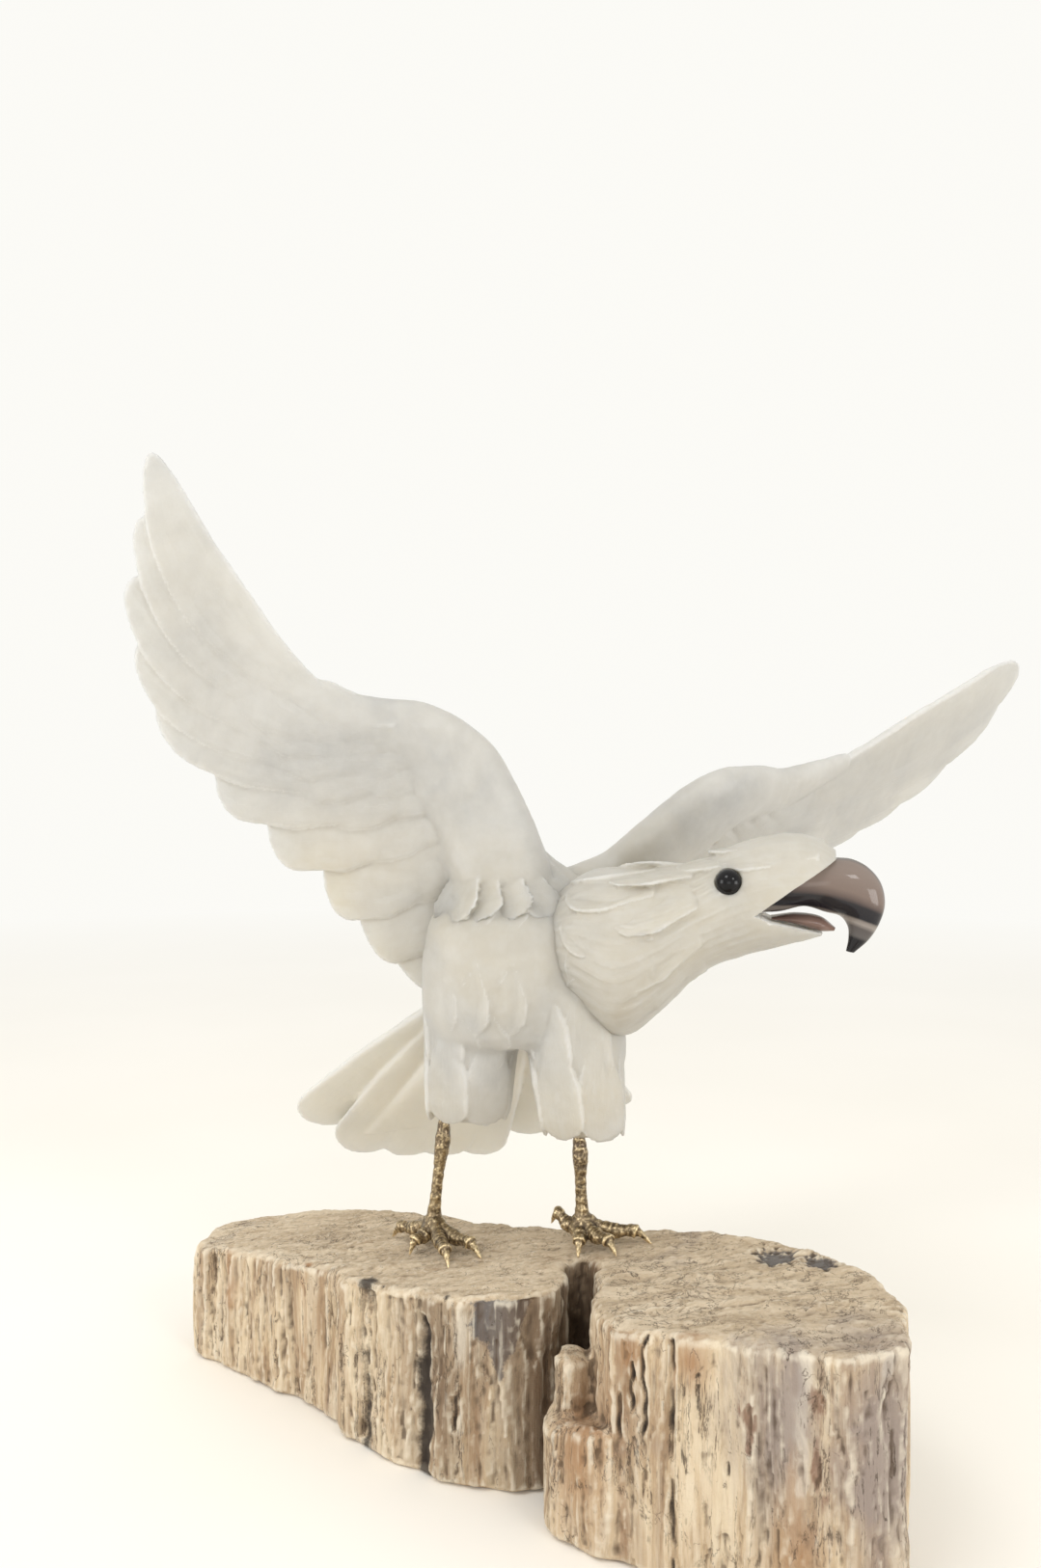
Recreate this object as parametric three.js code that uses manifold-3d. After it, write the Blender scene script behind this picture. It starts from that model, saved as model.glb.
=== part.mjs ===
// A falcon with raised wings. The bird is carved from milky quartz in four pieces: trunk with
// thighs and tail, neck with head, and two wings. It has a banded agate beak, bead eyes and cast
// brass legs, and it stands on a block of petrified wood.
// Millimetres, +Z up. The origin is on the block's flat underside, near its middle. The bird
// looks towards -Y and has its head turned towards +X.
import * as THREE from "three";
import { mergeVertices } from "three/addons/utils/BufferGeometryUtils.js";
import Module from "manifold-3d";

const wasm = await Module();
wasm.setup();

// Driving dimensions
const blockLength = 308; // straight over its two ends
const blockHeight = 78.9; // block's top above its underside, at the origin
const topRiseX = 0.11; // slope of the block's top towards +X
const topRiseY = -0.066; // slope of the block's top towards +Y
const chamfer = 2.5; // worn edge round the block's top and underside
const fluteDepth = 1.3; // half depth of the grain flutes down the block's sides
const ledgeHeight = 50; // broken ledge at the foot of the cleft
const ledgeCrest = 44; // where the ledge is highest, along X
const spireHeight = 67; // splinter standing on the ledge
const glueGap = 0.3; // room between pieces that are set against each other
const bellyHeight = 79; // belly above the block's top
const trunkHeight = 104; // trunk from the belly to the shoulders
const trunkX = 12; // trunk's middle over the block
const trunkY = 44;
const heading = 26; // degrees that the trunk is turned towards +X
const kneeHeight = 57; // end of the thighs above the block's top
const thighRadius = 19.5;
const tailLength = 150;
const tailFeatherWidth = 38;
const tailFeatherThickness = 8;
const wingLengthRight = 238; // shoulder to the tip of the longest feather
const wingLengthLeft = 262;
const wingFeatherThickness = 8.5; // flight feather at its root
const headLength = 137; // hood to the end of the beak, along the head
const headTurn = -12; // degrees that the head's own plane is turned about the vertical
const eyeRadius = 5.8;
const legRadius = 2.6;
const legSocket = 4; // depth that a leg is set into its thigh
const ankleHeight = 12;
const toeLength = 36;
const toeRadius = 3;

const v = (x, y, z = 0) => new THREE.Vector3(x, y, z);
const up = v(0, 0, 1);
const degrees = THREE.MathUtils.degToRad;
const bell = (x, middle, spread) => Math.exp(-(((x - middle) / spread) ** 2));
const curveThrough = (points) => new THREE.CatmullRomCurve3(points, false, "centripetal");

// The block's top, measured from its height at the origin.
const topAt = (x, y) => topRiseX * x + topRiseY * y;

// Solids

function solidOf(geometry) {
  geometry.deleteAttribute("normal");
  geometry.deleteAttribute("uv");
  const merged = mergeVertices(geometry, 1e-4);
  const triVerts = new Uint32Array(merged.index.array);
  const make = () =>
    new wasm.Manifold(
      new wasm.Mesh({ numProp: 3, vertProperties: merged.attributes.position.array, triVerts }),
    );
  const solid = make();
  if (solid.volume() > 0) return solid;
  for (let i = 0; i < triVerts.length; i += 3) {
    [triVerts[i + 1], triVerts[i + 2]] = [triVerts[i + 2], triVerts[i + 1]];
  }
  return make();
}

function geometryOf(solid) {
  const mesh = solid.getMesh();
  const geometry = new THREE.BufferGeometry();
  geometry.setAttribute("position", new THREE.BufferAttribute(mesh.vertProperties, mesh.numProp));
  geometry.setIndex(new THREE.BufferAttribute(mesh.triVerts, 1));
  return geometry;
}

const joined = (solids) => solids.reduce((sum, solid) => sum.add(solid));

// The same solid with every vertex sent through a function of its place.
function moved(solid, place) {
  const geometry = geometryOf(solid);
  const position = geometry.attributes.position;
  const point = v(0, 0);
  for (let i = 0; i < position.count; i++) {
    const at = place(point.fromBufferAttribute(position, i));
    position.setXYZ(i, at.x, at.y, at.z);
  }
  return solidOf(geometry);
}

const placed = (solid, matrix) => moved(solid, (point) => point.clone().applyMatrix4(matrix));

// A closed solid with elliptical sections. section(t) gives the centre and the two half axes
// of the section, for t from 0 at one flat end to 1 at the other.
function loft(section, around, along) {
  const geometry = new THREE.CylinderGeometry(1, 1, 1, around, along);
  const position = geometry.attributes.position;
  for (let i = 0; i < position.count; i++) {
    const { centre, a, b } = section(0.5 - position.getY(i));
    const at = centre
      .clone()
      .addScaledVector(a, position.getX(i))
      .addScaledVector(b, position.getZ(i));
    position.setXYZ(i, at.x, at.y, at.z);
  }
  return solidOf(geometry);
}

// A carved feather: a flat loft from root to tip that is broad and round at its tip.
// face is the way that its flat side looks, sweep bows it sideways along its length, tilt turns
// it about its length, narrow is the share of its width that it starts with, and shoulder is
// where along its length the tip starts to round off.
function feather({
  root,
  tip,
  face,
  width,
  thickness,
  sweep = 0,
  tilt = 0,
  narrow = 0.45,
  shoulder = 0.78,
  steps = 4,
}) {
  const run = tip.clone().sub(root);
  const normal = face.clone().addScaledVector(run, -face.dot(run) / run.lengthSq()).normalize();
  const side = new THREE.Vector3().crossVectors(normal, run).normalize();
  const axis = run.clone().normalize();
  const section = (share) => {
    const t = 1 - (1 - share) ** 1.5;
    const rounding = Math.max(0, (t - shoulder) / (1 - shoulder));
    const outline = (narrow + (1 - narrow) * Math.min(1, 2 * t)) * Math.sqrt(1.02 - rounding ** 2);
    const thinning = (1 - 0.45 * t) * (1 - 0.3 * rounding);
    return {
      centre: root
        .clone()
        .addScaledVector(run, t)
        .addScaledVector(side, 4 * sweep * t * (1 - t)),
      a: side.clone().applyAxisAngle(axis, tilt).multiplyScalar((width / 2) * outline),
      b: normal.clone().applyAxisAngle(axis, tilt).multiplyScalar((thickness / 2) * thinning),
    };
  };
  return loft(section, 6, steps);
}

// Petrified wood block

// Points round a closed outline, given in shares of the block's length and pushed in and out
// along its normal so that its extruded sides carry the grain's upright flutes.
function flutedShape(corners, points, depth) {
  const curve = new THREE.CatmullRomCurve3(
    corners.map(([x, y]) => v(x, y).multiplyScalar(blockLength)),
    true,
    "chordal",
  );
  const shape = new THREE.Shape();
  for (let i = 0; i < points; i++) {
    const at = curve.getPointAt(i / points);
    const along = curve.getTangentAt(i / points);
    const wave = Math.sin(i * 2.4) + 0.6 * Math.sin(i * 1.1 + 1) + 0.4 * Math.sin(i * 0.37);
    at.x += along.y * wave * depth;
    at.y -= along.x * wave * depth;
    if (i === 0) shape.moveTo(at.x, at.y);
    else shape.lineTo(at.x, at.y);
  }
  return shape;
}

// Extrudes an outline from the underside to a top whose height is a function of the place.
function slab(shape, topHeight, steps) {
  const geometry = new THREE.ExtrudeGeometry(shape, {
    depth: 1,
    steps,
    bevelThickness: chamfer,
    bevelSize: chamfer,
    bevelOffset: -chamfer,
    bevelSegments: 1,
  });
  const position = geometry.attributes.position;
  for (let i = 0; i < position.count; i++) {
    const x = position.getX(i);
    const y = position.getY(i);
    const z = position.getZ(i);
    const share = THREE.MathUtils.clamp(z, 0, 1);
    const height = chamfer + (topHeight(x, y) - 2 * chamfer) * share + z - share;
    const shift = fluteDepth * Math.sin(Math.PI * share) * Math.sin((15 * x + 25 * y) / blockLength);
    position.setXYZ(i, x + shift, y - shift, height);
  }
  return solidOf(geometry);
}

function woodBlock() {
  const outline = [
    [-0.503, 0.273], [-0.419, 0.195], [-0.266, 0.084], [-0.195, -0.003], [-0.091, -0.081],
    [0.013, -0.11], [0.084, -0.107], [0.101, -0.045], [0.11, 0.01], [0.133, 0.003],
    [0.14, -0.065], [0.146, -0.24], [0.263, -0.305], [0.37, -0.37], [0.464, -0.37],
    [0.497, -0.26], [0.484, -0.136], [0.429, -0.042], [0.344, 0.039], [0.273, 0.084],
    [0.201, 0.097], [0.13, 0.133], [0.039, 0.182], [-0.055, 0.244], [-0.211, 0.351],
    [-0.386, 0.39], [-0.49, 0.351],
  ];
  const ledge = [
    [0.068, -0.188], [0.078, -0.143], [0.123, -0.097], [0.195, -0.11], [0.201, -0.214],
    [0.149, -0.253], [0.107, -0.227],
  ];
  const spire = [
    [0.084, -0.162], [0.101, -0.136], [0.123, -0.143], [0.127, -0.175], [0.097, -0.188],
  ];
  return joined([
    slab(flutedShape(outline, 84, fluteDepth), (x, y) => blockHeight + topAt(x, y), 3),
    slab(flutedShape(ledge, 24, fluteDepth / 2), (x) => ledgeHeight - 0.3 * Math.abs(x - ledgeCrest), 2),
    slab(flutedShape(spire, 12, fluteDepth / 3), () => spireHeight, 2),
  ]);
}

// Trunk, thighs and tail

const forward = v(0, -1).applyAxisAngle(up, degrees(heading));
const toLeft = v(1, 0).applyAxisAngle(up, degrees(heading));

// A place in the bird, in shares of the trunk's height from the middle of the belly.
const inTrunk = (x, y, z) =>
  v(x, y, z)
    .multiplyScalar(trunkHeight)
    .add(v(trunkX, trunkY, bellyHeight));

function trunk(grow = 0) {
  // Height, shift towards the front, half width and half depth, in shares of the height.
  const stations = [
    [0.12, 0, 0.36, 0.27],
    [0.17, 0, 0.44, 0.335],
    [0.3, 0.02, 0.475, 0.36],
    [0.46, 0.03, 0.48, 0.37],
    [0.66, 0.03, 0.45, 0.35],
    [0.83, 0, 0.33, 0.25],
    [0.97, -0.02, 0.13, 0.1],
  ];
  const middles = curveThrough(stations.map(([height, shift]) => v(shift, 0, height)));
  const halves = curveThrough(stations.map(([, , wide, deep]) => v(wide, deep)));
  return loft(
    (t) => {
      const middle = middles.getPoint(t);
      const half = halves.getPoint(t).multiplyScalar(trunkHeight);
      return {
        centre: inTrunk(0, 0, middle.z).addScaledVector(forward, middle.x * trunkHeight),
        a: toLeft.clone().multiplyScalar(half.x + grow),
        b: forward.clone().multiplyScalar(half.y + grow),
      };
    },
    16,
    8,
  );
}

// A place under the trunk, in shares of its height, with its own height over the block's top.
const underTrunk = (x, y, height) => inTrunk(x, y, 0).setZ(height);

// Where each thigh leaves the trunk, where it ends, and where its leg stands in it.
const thighs = {
  right: {
    hip: inTrunk(-0.21, -0.08, 0.42),
    knee: underTrunk(-0.235, -0.077, kneeHeight),
    leg: underTrunk(-0.345, -0.067, kneeHeight),
  },
  left: {
    hip: inTrunk(0.21, -0.13, 0.42),
    knee: underTrunk(0.279, -0.26, 0.97 * kneeHeight),
    leg: underTrunk(0.255, -0.274, 0.97 * kneeHeight),
  },
};

function thighCore({ hip, knee }, grow = 0) {
  return loft(
    (t) => {
      const radius = thighRadius * (1.22 - 0.27 * t) + grow;
      return { centre: hip.clone().lerp(knee, t), a: v(radius, 0), b: v(0, radius) };
    },
    12,
    3,
  );
}

// A thigh with its ring of long feather tufts.
function thigh(place) {
  const count = 6;
  const tufts = [];
  for (let k = 0; k < count; k++) {
    const angle = (2 * Math.PI * k) / count + 0.5;
    const outward = v(Math.cos(angle), Math.sin(angle));
    tufts.push(
      feather({
        root: place.hip.clone().lerp(place.knee, 0.3).addScaledVector(outward, 0.9 * thighRadius),
        tip: place.knee
          .clone()
          .addScaledVector(outward, 0.84 * thighRadius)
          .add(v(0, 0, 0.08 * thighRadius * Math.sin(k * 2.3))),
        face: outward,
        width: 1.15 * thighRadius,
        thickness: 0.4 * thighRadius,
        shoulder: 0.85,
        steps: 3,
      }),
    );
  }
  return joined([thighCore(place), ...tufts]);
}

// The fan of the tail, from the outer feather on the bird's right round to its left.
function tail() {
  const rump = inTrunk(-0.115, 0.21, 0.17);
  const fan = (x, y, z) => v(x, y, z).multiplyScalar(tailLength).add(rump);
  const tips = [
    fan(-0.7, 0.435, -0.478),
    fan(-0.552, 0.481, -0.601),
    fan(-0.392, 0.508, -0.62),
    fan(-0.258, 0.521, -0.625),
    fan(-0.112, 0.521, -0.621),
    fan(0.075, 0.495, -0.536),
    fan(0.262, 0.455, -0.437),
    fan(0.41, 0.37, -0.4),
  ];
  const roots = curveThrough([fan(-0.09, 0, 0.05), rump, fan(0.13, 0, 0.04)]);
  const back = (share) => v(-0.3 + 0.6 * share, 0.75, 0.6);
  const solids = tips.map((tip, k) => {
    const share = k / (tips.length - 1);
    return feather({
      root: roots.getPoint(share),
      tip,
      face: back(share),
      width: tailFeatherWidth,
      thickness: tailFeatherThickness,
      tilt: degrees(7),
      narrow: 0.75,
      shoulder: 0.84,
    });
  });
  const end = tips[3].clone().lerp(rump, 0.28);
  const fanAcross = tips[6].clone().sub(tips[1]).setLength(0.31 * tailLength);
  const thickness = back(0.5).setLength(0.5 * tailFeatherThickness);
  solids.push(
    loft(
      (t) => ({
        centre: rump.clone().lerp(end, t),
        a: fanAcross.clone().multiplyScalar(0.45 + 0.55 * t),
        b: thickness.clone().multiplyScalar(3.2 - 2.6 * t),
      }),
      10,
      3,
    ),
  );
  return joined(solids);
}

// Wings

// Each wing is drawn flat, with x from the shoulder to the tip, y from the leading edge to the
// trailing edge and z through its thickness, in shares of its length. It is then bent: the
// trailing edge and the tip curl towards side times z, and so does each feather's own
// trailing edge, which lies over the next feather.
function wing({ length, side, hump, rootDrop, rootBulk, wristDrop, tips, width, sweep, shoulder }) {
  const at = (x, y, z = 0) => v(x * length, y * length, z * length);
  const face = v(0, 0, 1);
  const shingle = degrees(8);

  const armLine = curveThrough([
    at(-0.11, rootDrop, 1.2 * rootBulk * side),
    at(0.02, 0.085, 0.6 * rootBulk * side),
    at(0.11, 0.05 - 0.4 * hump),
    at(0.21, 0.03 - hump),
    at(0.3, 0.025 - 0.7 * hump),
    at(0.38, 0.07 * wristDrop),
    at(0.46, 0.11 * wristDrop),
    at(0.58, 0.14 * wristDrop),
  ]);
  const armHalves = curveThrough([
    at(0.1, 0.052 + rootBulk),
    at(0.098, 0.052 + 0.6 * rootBulk),
    at(0.095, 0.05 + 0.2 * rootBulk),
    at(0.1, 0.046),
    at(0.075, 0.038),
    at(0.058, 0.033),
    at(0.046, 0.027),
    at(0.025, 0.014),
  ]);
  const arm = loft(
    (t) => {
      const half = armHalves.getPoint(t);
      const along = armLine.getTangent(t);
      return {
        centre: armLine.getPoint(t),
        a: v(-along.y, along.x).multiplyScalar(half.x),
        b: face.clone().multiplyScalar(half.y),
      };
    },
    12,
    10,
  );
  const web = loft(
    (t) => ({
      centre: at(0.01 + 0.53 * t, 0.15 + 0.055 * t),
      a: at(0, 0.165 - 0.095 * t),
      b: face.clone().multiplyScalar(0.5 * wingFeatherThickness),
    }),
    6,
    2,
  );

  const roots = curveThrough([
    at(0.41, 0.1),
    at(0.39, 0.13),
    at(0.34, 0.16),
    at(0.23, 0.15),
    at(0.06, 0.17),
    at(-0.04, 0.2),
  ]);
  const flight = tips.map((tip, k) => {
    const inward = Math.min(1, k / 5);
    return feather({
      root: roots.getPoint(k / (tips.length - 1)),
      tip: at(...tip),
      face,
      width: length * (width + 0.055 * inward),
      thickness: wingFeatherThickness,
      sweep: sweep * length * (1 - inward),
      tilt: side * shingle,
      shoulder: shoulder + (0.78 - shoulder) * inward,
      steps: inward < 1 ? 4 : 3,
    });
  });

  const covertTips = curveThrough([at(0.66, 0.17), at(0.5, 0.235), at(0.3, 0.265), at(0, 0.275)]);
  const covertRoots = curveThrough([at(0.4, 0.12), at(0.33, 0.11), at(0.18, 0.07), at(-0.02, 0.12)]);
  const covertCount = 6;
  const coverts = [];
  for (let k = 0; k < covertCount; k++) {
    const share = k / (covertCount - 1);
    coverts.push(
      feather({
        root: covertRoots.getPoint(share),
        tip: covertTips.getPoint(share),
        face,
        width: 0.17 * length,
        thickness: 1.5 * wingFeatherThickness,
        sweep: 0.025 * length * (1 - share),
        tilt: side * shingle,
        steps: 3,
      }),
    );
  }

  const chord = 0.39 * length;
  return moved(joined([arm, web, ...flight, ...coverts]), ({ x, y, z }) => {
    const across = y / chord;
    const outward = Math.max(0, x / length - 0.35) / 0.65;
    return v(x, y, z + side * 0.035 * length * (0.7 * across * Math.abs(across) - outward ** 2));
  });
}

// Places a wing's own axes in the bird: x towards the tip, y towards the trailing edge.
function wingFrame(shoulder, tipward, trailing) {
  const x = tipward.clone().normalize();
  const y = trailing.clone().addScaledVector(x, -trailing.dot(x)).normalize();
  const z = new THREE.Vector3().crossVectors(x, y);
  return new THREE.Matrix4().makeBasis(x, y, z).setPosition(shoulder);
}

const wings = {
  right: {
    frame: wingFrame(inTrunk(0.067, -0.067, 1.048), v(-0.671, -0.262, 0.691), v(-0.738, 0.159, -0.656)),
    length: wingLengthRight,
    side: 1,
    hump: 0,
    rootDrop: 0.15,
    rootBulk: 0.05,
    wristDrop: 1,
    width: 0.125,
    sweep: 0.068,
    shoulder: 0.5,
    tips: [
      [1.01, 0.018],
      [0.945, 0.115],
      [0.88, 0.21],
      [0.79, 0.28],
      [0.7, 0.322],
      [0.53, 0.345],
      [0.385, 0.355],
      [0.23, 0.36],
      [0.1, 0.38],
      [-0.025, 0.385],
    ],
  },
  left: {
    frame: wingFrame(inTrunk(0.442, 0.135, 0.923), v(0.873, 0.303, 0.383), v(-0.014, 0.799, -0.601)),
    length: wingLengthLeft,
    side: -1,
    hump: 0.055,
    rootDrop: 0.08,
    rootBulk: 0,
    wristDrop: 0.35,
    width: 0.18,
    sweep: 0.015,
    shoulder: 0.8,
    tips: [
      [1.13, 0.115],
      [1.1, 0.2],
      [0.98, 0.255],
      [0.86, 0.265],
      [0.74, 0.26],
      [0.62, 0.22],
      [0.51, 0.21],
      [0.38, 0.25],
      [0.22, 0.32],
      [0.06, 0.38],
    ],
  },
};

// Neck, head and beak

// The head is drawn in its own upright plane, in shares of its length: x forwards, z up and y
// to the bird's left.
const headFrame = new THREE.Matrix4()
  .makeRotationZ(degrees(headTurn))
  .setPosition(inTrunk(0.26, -0.2, 0.6));
const inHead = (x, z) => v(x * headLength, 0, z * headLength);

// Lofts between an upper and a lower rail. Each row holds a point of the upper rail, the
// point of the lower rail under it, and the half width there.
function railLoft(rows, around, along, grow = 0) {
  const upper = curveThrough(rows.map(([top]) => top));
  const lower = curveThrough(rows.map(([, bottom]) => bottom));
  const width = curveThrough(rows.map(([, , half], k) => v(k, half)));
  return loft(
    (t) => {
      const top = upper.getPoint(t);
      const bottom = lower.getPoint(t);
      const halfHeight = top.clone().sub(bottom).multiplyScalar(0.5);
      return {
        centre: top.clone().add(bottom).multiplyScalar(0.5),
        a: halfHeight.clone().setLength(halfHeight.length() + grow),
        b: v(0, width.getPoint(t).y * headLength + grow),
      };
    },
    around,
    along,
  );
}

const neckRows = [
  [inHead(-0.1, 0.13), inHead(-0.1, -0.14), 0.11],
  [inHead(0.02, 0.222), inHead(0.015, -0.235), 0.18],
  [inHead(0.15, 0.242), inHead(0.145, -0.317), 0.225],
  [inHead(0.28, 0.242), inHead(0.29, -0.215), 0.195],
  [inHead(0.38, 0.253), inHead(0.42, -0.09), 0.16],
  [inHead(0.5, 0.318), inHead(0.55, -0.036), 0.15],
  [inHead(0.65, 0.362), inHead(0.66, -0.003), 0.15],
  [inHead(0.77, 0.355), inHead(0.745, 0.019), 0.128],
  [inHead(0.838, 0.311), inHead(0.79, 0.034), 0.088],
];

const neckCore = (grow) => railLoft(neckRows, 14, 11, grow);

// The neck's hood ends in a ring of broad feather tips that lie over the trunk.
function hood() {
  const upper = curveThrough(neckRows.map(([top]) => top));
  const lower = curveThrough(neckRows.map(([, bottom]) => bottom));
  const count = 9;
  const feathers = [];
  for (let k = 0; k < count; k++) {
    const angle = (2 * Math.PI * k) / count;
    const onRing = (t, half, spread) => {
      const top = upper.getPoint(t);
      const bottom = lower.getPoint(t);
      return top
        .clone()
        .add(bottom)
        .multiplyScalar(0.5)
        .addScaledVector(top.clone().sub(bottom), 0.5 * spread * Math.cos(angle))
        .add(v(0, half * headLength * spread * Math.sin(angle)));
    };
    feathers.push(
      feather({
        root: onRing(0.38, 0.18, 0.9),
        tip: onRing(0.16, 0.205, 1.04),
        face: v(0, Math.sin(angle), Math.cos(angle)),
        width: 0.21 * headLength,
        thickness: 0.055 * headLength,
        steps: 3,
      }),
    );
  }
  return joined(feathers);
}

// The mouth is cut straight through. The seat of the upper beak runs from the gape to the
// forehead, and the jaw's upper face runs from its hinge to the chin.
const gape = inHead(0.58, 0.105);
const forehead = inHead(0.841, 0.287);
const jawHinge = inHead(0.627, 0.086);
const chin = inHead(0.787, 0.048);

function mouthCut() {
  const beyond = 0.4 * headLength;
  const seat = forehead.clone().sub(gape).normalize();
  const above = v(-seat.z, 0, seat.x).multiplyScalar(glueGap);
  const below = v(0, 0, -glueGap);
  const jaw = chin.clone().sub(jawHinge).normalize();
  const corners = [
    gape.clone().add(above),
    jawHinge.clone().add(below),
    chin.clone().add(below),
    chin.clone().addScaledVector(jaw, beyond).add(below),
    forehead.clone().addScaledVector(seat, beyond).add(v(beyond, 0)),
    forehead.clone().addScaledVector(seat, beyond).add(above),
  ];
  const shape = new THREE.Shape(corners.map(({ x, z }) => new THREE.Vector2(x, z)));
  const geometry = new THREE.ExtrudeGeometry(shape, { depth: headLength, bevelEnabled: false });
  geometry.rotateX(Math.PI / 2);
  geometry.translate(0, headLength / 2, 0);
  return solidOf(geometry);
}

const upperBeakRows = [
  [forehead, gape, 0.096],
  [inHead(0.884, 0.283), inHead(0.657, 0.11), 0.092],
  [inHead(0.934, 0.258), inHead(0.737, 0.128), 0.084],
  [inHead(0.974, 0.209), inHead(0.803, 0.111), 0.073],
  [inHead(0.987, 0.143), inHead(0.85, 0.098), 0.06],
  [inHead(0.971, 0.081), inHead(0.872, 0.066), 0.044],
  [inHead(0.938, 0.026), inHead(0.874, 0.026), 0.029],
  [inHead(0.892, -0.018), inHead(0.867, -0.013), 0.01],
];

const lowerBeakRows = [
  [inHead(0.632, 0.095), inHead(0.632, 0.086), 0.058],
  [inHead(0.712, 0.107), inHead(0.712, 0.069), 0.069],
  [inHead(0.79, 0.096), inHead(0.787, 0.049), 0.055],
  [inHead(0.834, 0.062), inHead(0.829, 0.05), 0.015],
];

const eyeSides = { right: -1, left: 1 };
const eyePlace = (side) => v(0.5, 0.125 * side, 0.212).multiplyScalar(headLength);
const eyeBall = (grow) => solidOf(new THREE.SphereGeometry(eyeRadius + grow, 10, 6));

// Legs

// The point above a place on the block's top.
const onTop = (x, y, height) => v(x, y, topAt(x, y) + height);

// A round tube along a curve, with its radius given along the way.
function tube(points, radiusAt, around, along) {
  const reference = v(0.3, 0.9, 0.3);
  const line = curveThrough(points);
  return loft(
    (t) => {
      const tangent = line.getTangent(t);
      const a = new THREE.Vector3().crossVectors(tangent, reference).normalize();
      const b = new THREE.Vector3().crossVectors(tangent, a).normalize();
      return {
        centre: line.getPoint(t),
        a: a.multiplyScalar(radiusAt(t)),
        b: b.multiplyScalar(radiusAt(t)),
      };
    },
    around,
    along,
  );
}

// A toe leaves the ankle at an angle, arches over its knuckles and ends in a curved claw.
function toe(ankle, [angle, share, heights = [0.55, 0.5, 0.025]]) {
  const out = v(Math.cos(degrees(angle)), Math.sin(degrees(angle)));
  const reach = share * toeLength;
  const points = [0.42, 0.78, 1].map((way, k) => {
    const { x, y } = ankle.clone().addScaledVector(out, way * reach);
    return onTop(x, y, heights[k] * ankleHeight);
  });
  const clawStart = 0.68;
  return tube(
    [ankle, ...points],
    (t) => {
      if (t > clawStart) return toeRadius * (0.7 - 0.55 * ((t - clawStart) / (1 - clawStart)));
      return toeRadius * (1.2 - 0.4 * t) * (1 + 0.14 * Math.cos(18 * t));
    },
    6,
    5,
  );
}

// A shank with a collar under the thigh, a swollen joint half way, and a foot that broadens
// down to where the toes leave it.
function leg({ top, foot, toes }) {
  const ankle = onTop(foot.x, foot.y, ankleHeight);
  const sole = onTop(foot.x, foot.y, 0.3 * ankleHeight);
  const swell = (t) =>
    1 + 0.5 * bell(t, 0.1, 0.035) + 0.35 * bell(t, 0.42, 0.1) + 1.35 * bell(t, 0.88, 0.14);
  const points = [
    top.clone().add(v(0, 0, legSocket)),
    top,
    top.clone().lerp(ankle, 0.5),
    ankle,
    sole,
  ];
  const shank = tube(points, (t) => legRadius * swell(t), 7, 10);
  return joined([shank, ...toes.map((each) => toe(ankle, each))]);
}

// The hole in a thigh that its leg is set in.
function socket({ leg: top }) {
  const radius = 1.5 * legRadius + glueGap;
  const geometry = new THREE.CylinderGeometry(radius, radius, 2 * (legSocket + glueGap), 10);
  geometry.rotateX(Math.PI / 2);
  geometry.translate(top.x, top.y, top.z);
  return solidOf(geometry);
}

// Each toe is an angle from +X in degrees and a share of the toes' length. The left hind toe
// also curls up.
const legs = {
  right: {
    top: thighs.right.leg,
    foot: underTrunk(-0.396, -0.0625, 0),
    toes: [
      [-130, 0.45],
      [-75, 1],
      [-49, 1],
      [141, 0.78],
    ],
  },
  left: {
    top: thighs.left.leg,
    foot: underTrunk(0.269, -0.279, 0),
    toes: [
      [-17, 0.89],
      [-56, 0.69],
      [-99, 0.47],
      [137, 0.52, [0.7, 1.05, 0.6]],
    ],
  },
};

// Everything under the block's top, which the feet are cut off by.
function underTop() {
  const reach = 2 * wingLengthLeft;
  const geometry = new THREE.BoxGeometry(reach, reach, reach);
  geometry.translate(0, 0, -reach / 2);
  const position = geometry.attributes.position;
  for (let i = 0; i < position.count; i++) {
    const rise = topAt(position.getX(i), position.getY(i));
    position.setZ(i, position.getZ(i) + rise + glueGap);
  }
  return solidOf(geometry);
}

// Assembly

const quartz = new THREE.MeshStandardMaterial({ color: 0xdcd8d0, roughness: 0.45 });
const agate = new THREE.MeshStandardMaterial({ color: 0x6b564b, roughness: 0.08 });
const onyx = new THREE.MeshStandardMaterial({ color: 0x08080a, roughness: 0.04 });
const brass = new THREE.MeshStandardMaterial({ color: 0x9a8358, roughness: 0.32, metalness: 1 });
const petrifiedWood = new THREE.MeshStandardMaterial({ color: 0xb7a58b, roughness: 0.85 });

function named(name, solid, material) {
  const mesh = new THREE.Mesh(geometryOf(solid), material);
  mesh.name = name;
  return mesh;
}

// Puts an object where a frame is, inside the bird.
function setInto(object, frame) {
  object.quaternion.setFromRotationMatrix(frame);
  object.position.setFromMatrixPosition(frame);
  return object;
}

const body = joined([trunk(), ...Object.values(thighs).map(thigh), tail()]).subtract(
  joined(Object.values(thighs).map(socket)),
);
const bodyRoom = joined([
  trunk(glueGap),
  thighCore(thighs.right, glueGap),
  thighCore(thighs.left, glueGap),
]);

const sculpture = new THREE.Group();
sculpture.add(named("petrified_wood_block", woodBlock(), petrifiedWood));

const bird = new THREE.Group();
bird.position.set(0, 0, blockHeight);
sculpture.add(bird);
bird.add(named("body_and_tail", body, quartz));

for (const [side, parts] of Object.entries(legs)) {
  bird.add(named("leg_" + side, leg(parts).subtract(underTop()), brass));
}

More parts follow.
